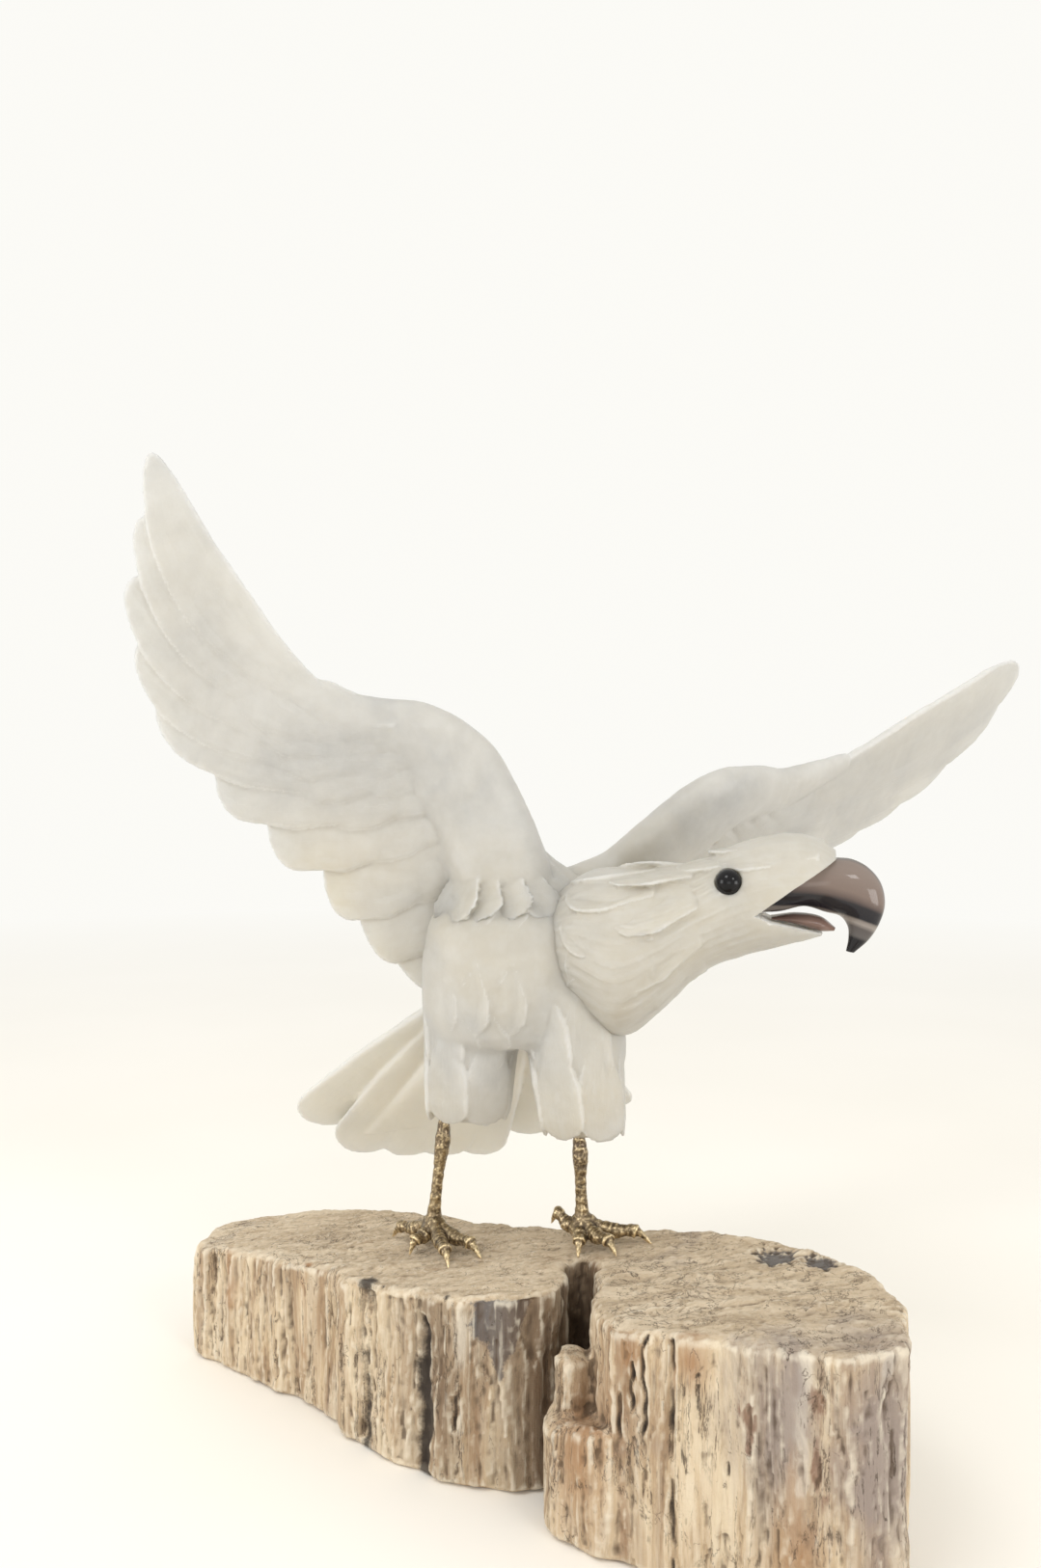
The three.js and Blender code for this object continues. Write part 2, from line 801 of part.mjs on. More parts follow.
const neckRoom = placed(neckCore(glueGap), headFrame);
for (const [side, parts] of Object.entries(wings)) {
  const room = placed(joined([bodyRoom, neckRoom]), parts.frame.clone().invert());
  bird.add(setInto(named("wing_" + side, wing(parts).subtract(room), quartz), parts.frame));
}

const headGroup = setInto(new THREE.Group(), headFrame);
bird.add(headGroup);
let head = joined([neckCore(0), hood()]).subtract(mouthCut());
head = head.subtract(placed(bodyRoom, headFrame.clone().invert()));
for (const [side, sign] of Object.entries(eyeSides)) {
  const middle = eyePlace(sign);
  head = head.subtract(placed(eyeBall(glueGap), new THREE.Matrix4().setPosition(middle)));
  const eye = named("eye_" + side, eyeBall(0), onyx);
  eye.position.copy(middle);
  headGroup.add(eye);
}
headGroup.add(named("head_and_neck", head, quartz));
headGroup.add(named("beak_upper", railLoft(upperBeakRows, 14, 12), agate));
headGroup.add(named("beak_lower", railLoft(lowerBeakRows, 10, 6), agate));

export default sculpture;
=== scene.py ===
import math

import bmesh
import bpy
import numpy as np
from mathutils import Matrix, Vector, noise
from mathutils.bvhtree import BVHTree


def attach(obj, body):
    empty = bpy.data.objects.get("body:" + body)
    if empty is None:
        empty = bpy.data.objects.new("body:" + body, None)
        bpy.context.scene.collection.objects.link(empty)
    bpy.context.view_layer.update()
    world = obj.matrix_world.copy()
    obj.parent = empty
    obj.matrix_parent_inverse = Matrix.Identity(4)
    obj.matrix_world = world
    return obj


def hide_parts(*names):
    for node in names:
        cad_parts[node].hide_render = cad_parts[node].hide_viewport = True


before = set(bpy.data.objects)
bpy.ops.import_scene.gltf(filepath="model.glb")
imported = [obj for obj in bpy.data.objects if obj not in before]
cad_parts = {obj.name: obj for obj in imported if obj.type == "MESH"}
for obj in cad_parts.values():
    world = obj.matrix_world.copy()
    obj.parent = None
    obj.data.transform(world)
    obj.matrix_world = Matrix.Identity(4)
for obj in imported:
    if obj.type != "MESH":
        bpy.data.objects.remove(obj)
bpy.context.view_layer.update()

# The solids' own sizes, in millimetres and degrees.
MM = 0.001
BLOCK_HEIGHT = 78.9
TOP_RISE_X = 0.11
TOP_RISE_Y = -0.066
BELLY_HEIGHT = BLOCK_HEIGHT + 79
TRUNK_HEIGHT = 104
TRUNK_PLACE = (12, 44)
HEADING = 26
KNEE_HEIGHT = 57
THIGH_RADIUS = 19.5
TAIL_LENGTH = 150
TAIL_FEATHER_WIDTH = 38
TAIL_FEATHER_THICKNESS = 8
WING_LENGTH_RIGHT = 238
WING_LENGTH_LEFT = 262
WING_FEATHER_THICKNESS = 8.5
HEAD_LENGTH = 137
HEAD_TURN = -12
EYE_RADIUS = 5.8
LEG_RADIUS = 2.6
LEG_SOCKET = 4
ANKLE_HEIGHT = 12
TOE_LENGTH = 36
TOE_RADIUS = 3
GLUE_GAP = 0.3

# Low feathers that are laid over the solids' forms.
BREAST_FEATHER_WIDTH = 22
BREAST_FEATHER_THICKNESS = 3.8
BREAST_FEATHER_SUNK = 2.4
BREAST_TIP_SUNK = 1.5
SHOULDER_FEATHER_WIDTH = 32
SHOULDER_FEATHER_THICKNESS = 2.2
SHOULDER_FEATHER_SUNK = 2.2

# How far the toes' undersides stay off the wood.
TOE_GAP = 0.1

# The side of the little cubes that each skin is fused from, and how often it is then softened.
FINENESS = {
    "trunk_core": (2.0, 22),
    "wing_core": (1.8, 14),
    "trunk": (1.08, 3),
    "wing": (1.05, 2),
    "head": (0.8, 3),
    "leg": (0.42, 2),
    "block": (1.32, 1),
}

CAMERA_PLACE = (12, -500, 292)
FOCAL_PIXELS = 1174
FRAME_HEIGHT = 1626

# The fewest vertices of a closed part that is kept when forms are fused.
SMALLEST_PART = 200

# What each vertex of a carved piece knows of the feather that it is on: how near its edge it is,
# its share along and across it, and a number of the feather's own.
MARKS = ("rim", "along", "across", "own")


def v(x, y, z=0.0):
    return Vector((x, y, z))


def bell(x, middle, spread):
    return math.exp(-(((x - middle) / spread) ** 2))


def new_shape():
    shape = bmesh.new()
    for name in MARKS:
        shape.verts.layers.float.new(name)
    return shape


# Shapes


def curve_through(points):
    """A smooth curve through points, as a function of a share of its way from 0 to 1."""
    knots = [Vector(point) for point in points]
    padded = [2 * knots[0] - knots[1], *knots, 2 * knots[-1] - knots[-2]]

    def at(share):
        place = min(max(share, 0), 1) * (len(knots) - 1)
        first = min(int(place), len(knots) - 2)
        t = place - first
        p0, p1, p2, p3 = padded[first : first + 4]
        d0, d1, d2 = (max((b - a).length, 1e-6) ** 0.5 for a, b in ((p0, p1), (p1, p2), (p2, p3)))
        leave = d1 * ((p1 - p0) / d0 - (p2 - p0) / (d0 + d1) + (p2 - p1) / d1)
        reach = d1 * ((p2 - p1) / d1 - (p3 - p1) / (d1 + d2) + (p3 - p2) / d2)
        bend = 2 * p1 - 2 * p2 + leave + reach
        turn = -3 * p1 + 3 * p2 - 2 * leave - reach
        return ((bend * t + turn) * t + leave) * t + p1

    return at


def direction(curve, share):
    return (curve(min(share + 0.01, 1)) - curve(max(share - 0.01, 0))).normalized()


def loft(shape, section, around, along, marks=None):
    """Adds a closed loft. section(turn, share) gives a point of its skin, for a turn from 0 to
    2 pi and a share of the way from one end to the other, and marks gives that point's marks."""
    layers = [shape.verts.layers.float[name] for name in MARKS]
    grid = bmesh.ops.create_grid(shape, x_segments=around, y_segments=along, size=0.5)["verts"]
    for vert in grid:
        turn, share = (vert.co.x + 0.5) * math.tau, vert.co.y + 0.5
        vert.co = section(turn, share)
        if marks:
            for layer, value in zip(layers, marks(turn, share)):
                vert[layer] = value
    bmesh.ops.remove_doubles(shape, verts=grid, dist=1e-4)
    rims = [edge for edge in shape.edges if edge.is_boundary]
    bmesh.ops.holes_fill(shape, edges=rims)


def tube_skin(centre, a, b):
    """A section from a centre line and its two half axes, each a function of the share."""

    def section(turn, share):
        return centre(share) + a(share) * math.cos(turn) + b(share) * math.sin(turn)

    return section


def feather(
    shape, root, tip, face, width, thickness,
    sweep=0.0, tilt=0.0, narrow=0.45, shoulder=0.78, flatness=0.5, own=0.0, grain=(30, 36),
):
    """A carved feather that is broad and round at its tip, with a low shaft along its middle.
    flatness is 1 for a round edge and nearer to 0 for a square one."""
    run = tip - root
    normal = (face - run * (face.dot(run) / run.length_squared)).normalized()
    side = normal.cross(run).normalized()
    leaning = side * math.cos(tilt) + normal * math.sin(tilt)
    rising = normal * math.cos(tilt) - side * math.sin(tilt)

    def way(share):
        return 1 - (1 - share) ** 1.5

    def section(turn, share):
        t = way(share)
        rounding = max(0, (t - shoulder) / (1 - shoulder))
        outline = (narrow + (1 - narrow) * min(1, 2 * t)) * math.sqrt(1.004 - rounding**2)
        thinning = (1 - 0.45 * t) * (1 - 0.5 * rounding)
        across, rise = math.cos(turn), math.sin(turn)
        shaft = 1 + 0.2 * bell(across, 0, 0.12) * (1 - t)
        flat_rise = math.copysign(abs(rise) ** flatness, rise)
        centre = root + run * t + side * (4 * sweep * t * (1 - t))
        aside = leaning * (width / 2 * outline * across)
        return centre + aside + rising * (thickness / 2 * thinning * shaft * flat_rise)

    def marks(turn, share):
        t, across = way(share), math.cos(turn)
        return max(abs(across) ** 6, max(0, (t - 0.93) / 0.07)), t, across, own

    loft(shape, section, *grain, marks)


def put_in(name, data):
    piece = bpy.data.objects.new(name, data)
    bpy.context.scene.collection.objects.link(piece)
    return piece


def evaluated(piece):
    graph = bpy.context.evaluated_depsgraph_get()
    return bpy.data.meshes.new_from_object(piece.evaluated_get(graph))


def drop_bubbles(mesh):
    """Takes out the tiny closed bubbles that fusing leaves inside a skin."""
    skin = bmesh.new()
    skin.from_mesh(mesh)
    seen, bubbles = set(), []
    for start in skin.verts:
        if start in seen:
            continue
        seen.add(start)
        part = [start]
        for vert in part:
            for edge in vert.link_edges:
                other = edge.other_vert(vert)
                if other not in seen:
                    seen.add(other)
                    part.append(other)
        if len(part) < SMALLEST_PART:
            bubbles += part
    bmesh.ops.delete(skin, geom=bubbles, context="VERTS")
    skin.to_mesh(mesh)
    skin.free()


def fused(shape, part):
    """One skin round all the closed forms of a shape, softened as a carver's wheel leaves it."""
    voxel, passes = FINENESS[part]
    rough_mesh = bpy.data.meshes.new("rough")
    bmesh.ops.recalc_face_normals(shape, faces=shape.faces)
    shape.to_mesh(rough_mesh)
    rough = put_in("rough", rough_mesh)
    fuse = rough.modifiers.new("fuse", "REMESH")
    fuse.mode = "VOXEL"
    fuse.voxel_size = voxel
    soften = rough.modifiers.new("soften", "SMOOTH")
    soften.factor = 0.5
    soften.iterations = passes
    skin = evaluated(rough)
    drop_bubbles(skin)
    bpy.data.objects.remove(rough)
    bpy.data.meshes.remove(rough_mesh)
    return skin


def softened_core(shape, part):
    """The same forms run into each other, ready for feathers to be laid on."""
    skin = fused(shape, part)
    shape.free()
    core = new_shape()
    core.from_mesh(skin)
    bpy.data.meshes.remove(skin)
    return core


def carved_skin(shape, part):
    """The fused skin with the marks of the nearest feather on each vertex."""
    skin = fused(shape, part)
    layers = [shape.verts.layers.float[name] for name in MARKS]
    nearest = BVHTree.FromBMesh(shape)

    def mean_marks(face):
        return [sum(vert[layer] for vert in face.verts) / len(face.verts) for layer in layers]

    face_marks = np.array([mean_marks(face) for face in shape.faces])
    found = [nearest.find_nearest(vert.co)[2] for vert in skin.vertices]
    for name, values in zip(MARKS, face_marks[found].T):
        add_share(skin, name, values)
    shape.free()
    return skin


def vertex_arrays(mesh):
    """The places and normals of a mesh's vertices."""
    places = np.empty(len(mesh.vertices) * 3, np.float32)
    normals = np.empty_like(places)
    mesh.vertices.foreach_get("co", places)
    mesh.vertices.foreach_get("normal", normals)
    return places.reshape(-1, 3), normals.reshape(-1, 3)


def set_places(mesh, places):
    mesh.vertices.foreach_set("co", places.astype(np.float32).ravel())
    mesh.update()


def add_share(mesh, name, values):
    """Keeps one number for each vertex, for the materials."""
    layer = mesh.attributes.new(name, "FLOAT", "POINT")
    layer.data.foreach_set("value", np.asarray(values, np.float32))


def read_share(mesh, name):
    values = np.empty(len(mesh.vertices), np.float32)
    mesh.attributes[name].data.foreach_get("value", values)
    return values


def noise_at(places, size, octaves=3, stretch=(1, 1, 1), shift=0.0):
    """Fractal noise at each place, about -1 to 1. size is that of its features."""
    points = places / (size * np.array(stretch, np.float32)) + np.array((shift, 0, 0), np.float32)
    return np.array([noise.fractal(point, 1.0, 2.0, octaves) for point in points.tolist()], np.float32)


def neighbour_mean(mesh, values):
    """The mean of the values at the ends of each vertex's edges."""
    edges = np.empty(len(mesh.edges) * 2, np.int32)
    mesh.edges.foreach_get("vertices", edges)
    starts, ends = edges.reshape(-1, 2).T
    total = np.zeros_like(values)
    count = np.zeros(len(values), np.float32)
    for here, there in ((starts, ends), (ends, starts)):
        np.add.at(total, here, values[there])
        np.add.at(count, here, 1)
    return total / (count if values.ndim == 1 else count[:, None])


def standing_out(mesh, blur):
    """How far each vertex stands out of its neighbours' mean: above 0 on edges, below in creases."""
    places, normals = vertex_arrays(mesh)
    out = ((places - neighbour_mean(mesh, places)) * normals).sum(axis=1)
    for _ in range(blur):
        out = 0.5 * out + 0.5 * neighbour_mean(mesh, out)
    return out


def finished(name, shape_or_mesh, slot, node):
    """Puts a shape in millimetres into the scene as a piece that rides on the part."""
    mesh = shape_or_mesh
    if isinstance(mesh, bmesh.types.BMesh):
        mesh = bpy.data.meshes.new(name)
        bmesh.ops.recalc_face_normals(shape_or_mesh, faces=shape_or_mesh.faces)
        shape_or_mesh.to_mesh(mesh)
        shape_or_mesh.free()
    mesh.name = name
    mesh.transform(Matrix.Scale(MM, 4))
    mesh.polygons.foreach_set("use_smooth", [True] * len(mesh.polygons))
    mesh.materials.clear()
    mesh.materials.append(MATERIALS[slot])
    piece = put_in(name, mesh)
    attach(piece, "root")
    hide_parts(node)


def cut_away(mesh, cutter_shape):
    """A mesh with a cutter taken out of it."""
    cutter_mesh = bpy.data.meshes.new("cutter")
    cutter_shape.to_mesh(cutter_mesh)
    cutter_shape.free()
    cutter = put_in("cutter", cutter_mesh)
    blank = put_in("blank", mesh)
    cut = blank.modifiers.new("cut", "BOOLEAN")
    cut.operation = "DIFFERENCE"
    cut.solver = "EXACT"
    cut.object = cutter
    result = evaluated(blank)
    for item in (cutter, blank):
        bpy.data.objects.remove(item)
    bpy.data.meshes.remove(cutter_mesh)
    bpy.data.meshes.remove(mesh)
    return result


# Trunk, thighs and tail

TURN = Matrix.Rotation(math.radians(HEADING), 3, "Z")
FORWARD = TURN @ v(0, -1)
TO_LEFT = TURN @ v(1, 0)


def in_trunk(x, y, z):
    return v(x, y, z) * TRUNK_HEIGHT + v(*TRUNK_PLACE, BELLY_HEIGHT)


def under_trunk(x, y, height):
    place = in_trunk(x, y, 0)
    place.z = BLOCK_HEIGHT + height
    return place


def trunk_skin():
    stations = [
        (0.12, 0.0, 0.36, 0.27),
        (0.17, 0.0, 0.44, 0.335),
        (0.3, 0.02, 0.475, 0.36),
        (0.46, 0.03, 0.48, 0.37),
        (0.66, 0.03, 0.45, 0.35),
        (0.83, 0.0, 0.33, 0.25),
        (0.97, -0.02, 0.13, 0.1),
    ]
    middles = curve_through([(shift, 0, height) for height, shift, _, _ in stations])
    halves = curve_through([(wide, deep, 0) for _, _, wide, deep in stations])

    def centre(t):
        middle = middles(t)
        return in_trunk(0, 0, middle.z) + FORWARD * (middle.x * TRUNK_HEIGHT)

    return tube_skin(
        centre,
        lambda t: TO_LEFT * (halves(t).x * TRUNK_HEIGHT),
        lambda t: FORWARD * (halves(t).y * TRUNK_HEIGHT),
    )


THIGHS = {
    "right": {
        "hip": in_trunk(-0.21, -0.08, 0.42),
        "knee": under_trunk(-0.235, -0.077, KNEE_HEIGHT),
        "leg": under_trunk(-0.345, -0.067, KNEE_HEIGHT),
    },
    "left": {
        "hip": in_trunk(0.21, -0.13, 0.42),
        "knee": under_trunk(0.279, -0.26, 0.97 * KNEE_HEIGHT),
        "leg": under_trunk(0.255, -0.274, 0.97 * KNEE_HEIGHT),
    },
}


def add_thigh_core(shape, hip, knee):
    def radius(t):
        return THIGH_RADIUS * (1.22 - 0.27 * t)

    section = tube_skin(
        lambda t: hip.lerp(knee, t),
        lambda t: v(radius(t), 0),
        lambda t: v(0, radius(t)),
    )
    loft(shape, section, 36, 16)


def add_thigh_feathers(shape, hip, knee):
    for ring, (count, start, end) in enumerate(((7, 0.0, 0.62), (6, 0.35, 1.02))):
        for k in range(count):
            angle = math.tau * (k + 0.5 * ring) / count + 0.5
            outward = v(math.cos(angle), math.sin(angle))
            drop = v(0, 0, 0.08 * THIGH_RADIUS * math.sin(k * 2.3))
            root = hip.lerp(knee, start) + outward * ((1.1 - 0.2 * start) * THIGH_RADIUS)
            tip = hip.lerp(knee, end) + outward * ((1.1 - 0.2 * end) * THIGH_RADIUS) + drop
            feather(
                shape, root, tip, outward, 1.15 * THIGH_RADIUS, 0.3 * THIGH_RADIUS,
                tilt=0.08, shoulder=0.8, own=0.13 * k + 0.5 * ring,
            )


def add_breast_feathers(shape):
    skin = trunk_skin()
    count = 11
    for ring, (top, bottom) in enumerate(((1.0, 0.66), (0.78, 0.44), (0.56, 0.22), (0.34, 0.02))):
        tip_sunk = BREAST_TIP_SUNK if ring < 3 else BREAST_FEATHER_SUNK
        for k in range(count):
            turn = math.pi * (-0.15 + 1.3 * (k + 0.5 * (ring % 2)) / count)
            middle = skin(turn, (top + bottom) / 2)
            outward = v(*(middle - (skin(turn + math.pi, (top + bottom) / 2) + middle) / 2).xy).normalized()
            root = skin(turn, top) - outward * BREAST_FEATHER_SUNK
            tip = skin(turn, bottom) - outward * tip_sunk
            feather(
                shape, root, tip, outward, BREAST_FEATHER_WIDTH, BREAST_FEATHER_THICKNESS,
                tilt=0.05, shoulder=0.7, own=0.07 * k + 0.21 * ring, grain=(20, 22),
            )


def add_tail(shape):
    rump = in_trunk(-0.115, 0.21, 0.17)

    def fan(x, y, z):
        return v(x, y, z) * TAIL_LENGTH + rump

    tip_places = (
        (-0.7, 0.435, -0.478), (-0.552, 0.481, -0.601), (-0.392, 0.508, -0.62), (-0.258, 0.521, -0.625),
        (-0.112, 0.521, -0.621), (0.075, 0.495, -0.536), (0.262, 0.455, -0.437), (0.41, 0.37, -0.4),
    )
    tips = [fan(*place) for place in tip_places]
    roots = curve_through([fan(-0.09, 0, 0.05), rump, fan(0.13, 0, 0.04)])
    for k, tip in enumerate(tips):
        share = k / (len(tips) - 1)
        face = v(-0.3 + 0.6 * share, 0.75, 0.6)
        feather(
            shape, roots(share), tip, face, TAIL_FEATHER_WIDTH, TAIL_FEATHER_THICKNESS,
            tilt=math.radians(7), narrow=0.75, shoulder=0.84, own=0.31 * k,
        )
    end = tips[3].lerp(rump, 0.28)
    across = (tips[6] - tips[1]).normalized() * (0.31 * TAIL_LENGTH)
    thick = v(0, 0.75, 0.6).normalized() * (0.5 * TAIL_FEATHER_THICKNESS)
    section = tube_skin(
        lambda t: rump.lerp(end, t),
        lambda t: across * (0.45 + 0.55 * t),
        lambda t: thick * (3.2 - 2.6 * t),
    )
    loft(shape, section, 40, 12)


def add_shoulder_feathers(shape):
    """The feathers that hang from the raised right wing over the top of the breast."""
    breast = trunk_skin()
    arm = BVHTree.FromBMesh(shape)
    places = ((163, 0.68), (143, 0.69), (123, 0.7), (103, 0.705), (83, 0.715), (63, 0.73))
    for k, (turn, share) in enumerate(places):
        tip = breast(math.radians(turn), share)
        outward = v(*(tip - breast(math.radians(turn + 180), share)).xy).normalized()
        near, normal, _, _ = arm.find_nearest(tip + outward * 3 + v(-2, 0, 18))
        root, end = near - normal * SHOULDER_FEATHER_SUNK, tip - outward * (SHOULDER_FEATHER_SUNK / 2)
        feather(
            shape, root, end, outward + v(0, 0, 0.25), SHOULDER_FEATHER_WIDTH, SHOULDER_FEATHER_THICKNESS,
            tilt=-0.04, narrow=0.7, shoulder=0.55, flatness=0.9, own=0.17 * k,
        )


# Wings


def wing_frame(shoulder, tipward, trailing):
    x = tipward.normalized()
    y = (trailing - x * trailing.dot(x)).normalized()
    z = x.cross(y)
    return Matrix.Translation(shoulder) @ Matrix((x, y, z)).transposed().to_4x4()


WINGS = {
    "right": {
        "frame": wing_frame(
            in_trunk(0.067, -0.067, 1.048), v(-0.671, -0.262, 0.691), v(-0.738, 0.159, -0.656)
        ),
        "length": WING_LENGTH_RIGHT,
        "side": 1,
        "hump": 0,
        "root_drop": 0.15,
        "root_bulk": 0.05,
        "wrist_drop": 1,
        "width": 0.125,
        "sweep": 0.068,
        "shoulder": 0.5,
        "tips": [
            (1.01, 0.018), (0.945, 0.115), (0.88, 0.21), (0.79, 0.28), (0.7, 0.322),
            (0.53, 0.345), (0.385, 0.355), (0.23, 0.36), (0.1, 0.38), (-0.025, 0.385),
        ],
    },
    "left": {
        "frame": wing_frame(
            in_trunk(0.442, 0.135, 0.923), v(0.873, 0.303, 0.383), v(-0.014, 0.799, -0.601)
        ),
        "length": WING_LENGTH_LEFT,
        "side": -1,
        "hump": 0.055,
        "root_drop": 0.08,
        "root_bulk": 0,
        "wrist_drop": 0.35,
        "width": 0.18,
        "sweep": 0.015,
        "shoulder": 0.8,
        "tips": [
            (1.13, 0.115), (1.1, 0.2), (0.98, 0.255), (0.86, 0.265), (0.74, 0.26),
            (0.62, 0.22), (0.51, 0.21), (0.38, 0.25), (0.22, 0.32), (0.06, 0.38),
        ],
    },
}


def wing_shape(length, side, hump, root_drop, root_bulk, wrist_drop, width, sweep, shoulder, tips):
    """A wing drawn flat, with x to the tip, y to the trailing edge and side times z below."""
    face = v(0, 0, 1)
    shingle = side * math.radians(8)

    def at(x, y, z=0.0):
        return v(x, y, z) * length

    arm = (
        # towards the tip, back and below, then half the width and half the thickness
        (-0.11, root_drop, 1.2 * root_bulk * side, 0.1, 0.052 + root_bulk),
        (0.02, 0.085, 0.6 * root_bulk * side, 0.098, 0.052 + 0.6 * root_bulk),
        (0.11, 0.05 - 0.4 * hump, 0, 0.095, 0.05 + 0.2 * root_bulk),
        (0.21, 0.03 - hump, 0, 0.1, 0.046),
        (0.3, 0.025 - 0.7 * hump, 0, 0.075, 0.038),
        (0.38, 0.07 * wrist_drop, 0, 0.058, 0.033),
        (0.46, 0.11 * wrist_drop, 0, 0.046, 0.027),
        (0.58, 0.14 * wrist_drop, 0, 0.025, 0.014),
    )
    arm_line = curve_through([at(*row[:3]) for row in arm])
    arm_halves = curve_through([at(*row[3:]) for row in arm])

    def arm_across(t):
        along = direction(arm_line, t)
        return v(-along.y, along.x).normalized() * arm_halves(t).x

    shape = new_shape()
    loft(shape, tube_skin(arm_line, arm_across, lambda t: face * arm_halves(t).y), 40, 60)
    web = tube_skin(
        lambda t: at(0.01 + 0.53 * t, 0.15 + 0.055 * t),
        lambda t: at(0, 0.165 - 0.095 * t),
        lambda t: face * (0.5 * WING_FEATHER_THICKNESS),
    )
    loft(shape, web, 40, 16)
    shape = softened_core(shape, "wing_core")

    def line_at(*places):
        return curve_through([at(*place) for place in places])

    roots = line_at((0.41, 0.1), (0.39, 0.13), (0.34, 0.16), (0.23, 0.15), (0.06, 0.17), (-0.04, 0.2))
    for k, tip in enumerate(tips):
        inward = min(1, k / 5)
        feather(
            shape, roots(k / (len(tips) - 1)), at(*tip), face,
            length * (width + 0.055 * inward), WING_FEATHER_THICKNESS,
            sweep=sweep * length * (1 - inward), tilt=shingle,
            shoulder=shoulder + (0.78 - shoulder) * inward, own=0.37 * k, grain=(30, 60),
        )

    count = 8
    lower_tips = line_at((0.66, 0.17), (0.5, 0.235), (0.3, 0.265), (0, 0.275))
    lower_roots = line_at((0.4, 0.12), (0.33, 0.11), (0.18, 0.07), (-0.02, 0.12))
    upper_tips = line_at((0.52, 0.12), (0.4, 0.17), (0.24, 0.18), (0.02, 0.2))
    upper_roots = line_at((0.36, 0.04), (0.26, 0.02), (0.14, 0.02), (-0.02, 0.06))
    rows = ((lower_tips, lower_roots, 0.13, 1.45), (upper_tips, upper_roots, 0.1, 1.9))
    for row, (row_tips, row_roots, wide, thick) in enumerate(rows):
        for k in range(count):
            share = k / (count - 1)
            feather(
                shape, row_roots(share), row_tips(share), face,
                wide * length, thick * WING_FEATHER_THICKNESS,
                sweep=0.02 * length * (1 - share), tilt=shingle, shoulder=0.68, own=0.29 * k + 0.5 * row,
            )

    chord = 0.39 * length
    for vert in shape.verts:
        across = vert.co.y / chord
        outward = max(0, vert.co.x / length - 0.35) / 0.65
        vert.co.z += side * 0.035 * length * (0.7 * across * abs(across) - outward**2)
    return shape


# Neck, head and beak

HEAD_FRAME = Matrix.Translation(in_trunk(0.26, -0.2, 0.6)) @ Matrix.Rotation(math.radians(HEAD_TURN), 4, "Z")


def in_head(x, z):
    return v(x, 0, z) * HEAD_LENGTH


def rail_section(rows):
    """A section between an upper and a lower rail. Each row holds a point of each and the half
    width there, in shares of the head's length."""
    upper = curve_through([in_head(*top) for top, _, _ in rows])
    lower = curve_through([in_head(*bottom) for _, bottom, _ in rows])
    width = curve_through([(k, half * HEAD_LENGTH, 0) for k, (_, _, half) in enumerate(rows)])

    def section(turn, share):
        top, bottom = upper(share), lower(share)
        across = v(0, width(share).y)
        return (top + bottom) / 2 + (top - bottom) / 2 * math.cos(turn) + across * math.sin(turn)

    return section


NECK_ROWS = [
    ((-0.1, 0.13), (-0.1, -0.14), 0.11),
    ((0.02, 0.222), (0.015, -0.235), 0.18),
    ((0.15, 0.242), (0.145, -0.317), 0.225),
    ((0.28, 0.242), (0.29, -0.215), 0.195),
    ((0.38, 0.253), (0.42, -0.09), 0.16),
    ((0.5, 0.318), (0.55, -0.036), 0.15),
    ((0.65, 0.362), (0.66, -0.003), 0.15),
    ((0.77, 0.355), (0.745, 0.019), 0.128),
    ((0.838, 0.311), (0.79, 0.034), 0.088),
]
UPPER_BEAK_ROWS = [
    ((0.841, 0.287), (0.58, 0.105), 0.096),
    ((0.884, 0.283), (0.657, 0.11), 0.092),
    ((0.934, 0.258), (0.737, 0.128), 0.084),
    ((0.974, 0.209), (0.803, 0.111), 0.073),
    ((0.987, 0.143), (0.85, 0.098), 0.06),
    ((0.971, 0.081), (0.872, 0.066), 0.044),
    ((0.938, 0.026), (0.874, 0.026), 0.029),
    ((0.892, -0.018), (0.867, -0.013), 0.01),
]
LOWER_BEAK_ROWS = [
    ((0.632, 0.095), (0.632, 0.086), 0.058),
    ((0.712, 0.107), (0.712, 0.069), 0.069),
    ((0.79, 0.096), (0.787, 0.049), 0.055),
    ((0.834, 0.062), (0.829, 0.05), 0.015),
]


def add_hood(shape):
    """Rings of feathers round the neck, from the jagged edge over the trunk up to the cheek."""
    ring = rail_section(NECK_ROWS)

    def on_ring(t, angle, spread):
        middle = (ring(0, t) + ring(math.pi, t)) / 2
        return middle + (ring(angle, t) - middle) * spread

    rings = (
        # root, tip, count, root spread, tip spread, width, thickness
        (0.36, 0.075, 10, 0.955, 1.01, 0.2, 0.03),
        (0.5, 0.22, 9, 0.968, 0.966, 0.19, 0.017),
    )
    for row, (start, end, count, start_spread, end_spread, wide, thick) in enumerate(rings):
        for k in range(count):
            angle = math.tau * (k + 0.5 * (row % 2)) / count
            root = on_ring(start, angle, start_spread)
            tip = on_ring(end + 0.012 * math.sin(2.1 * k), angle, end_spread)
            feather(
                shape, root, tip, v(0, math.sin(angle), math.cos(angle)),
                wide * HEAD_LENGTH, thick * HEAD_LENGTH,
                tilt=0.1, shoulder=0.72, own=0.23 * k + 0.4 * row,
            )


def add_crown(shape):
    """The flat cap feathers that lie back over the crown from the forehead."""
    middle = ((0.8, 0.335), (0.43, 0.3))
    outer = ((0.78, 0.3), (0.46, 0.27))
    inner = ((0.7, 0.32), (0.33, 0.245))
    places = ((middle, 0.0), (outer, 0.075), (outer, -0.075), (inner, 0.035), (inner, -0.035))
    for k, (ends, aside) in enumerate(places):
        root, tip = (in_head(*end) + v(0, aside * HEAD_LENGTH) for end in ends)
        feather(
            shape, root, tip, v(-0.1, 6 * aside, 1), 0.13 * HEAD_LENGTH, 0.028 * HEAD_LENGTH,
            shoulder=0.7, own=0.3 * k,
        )


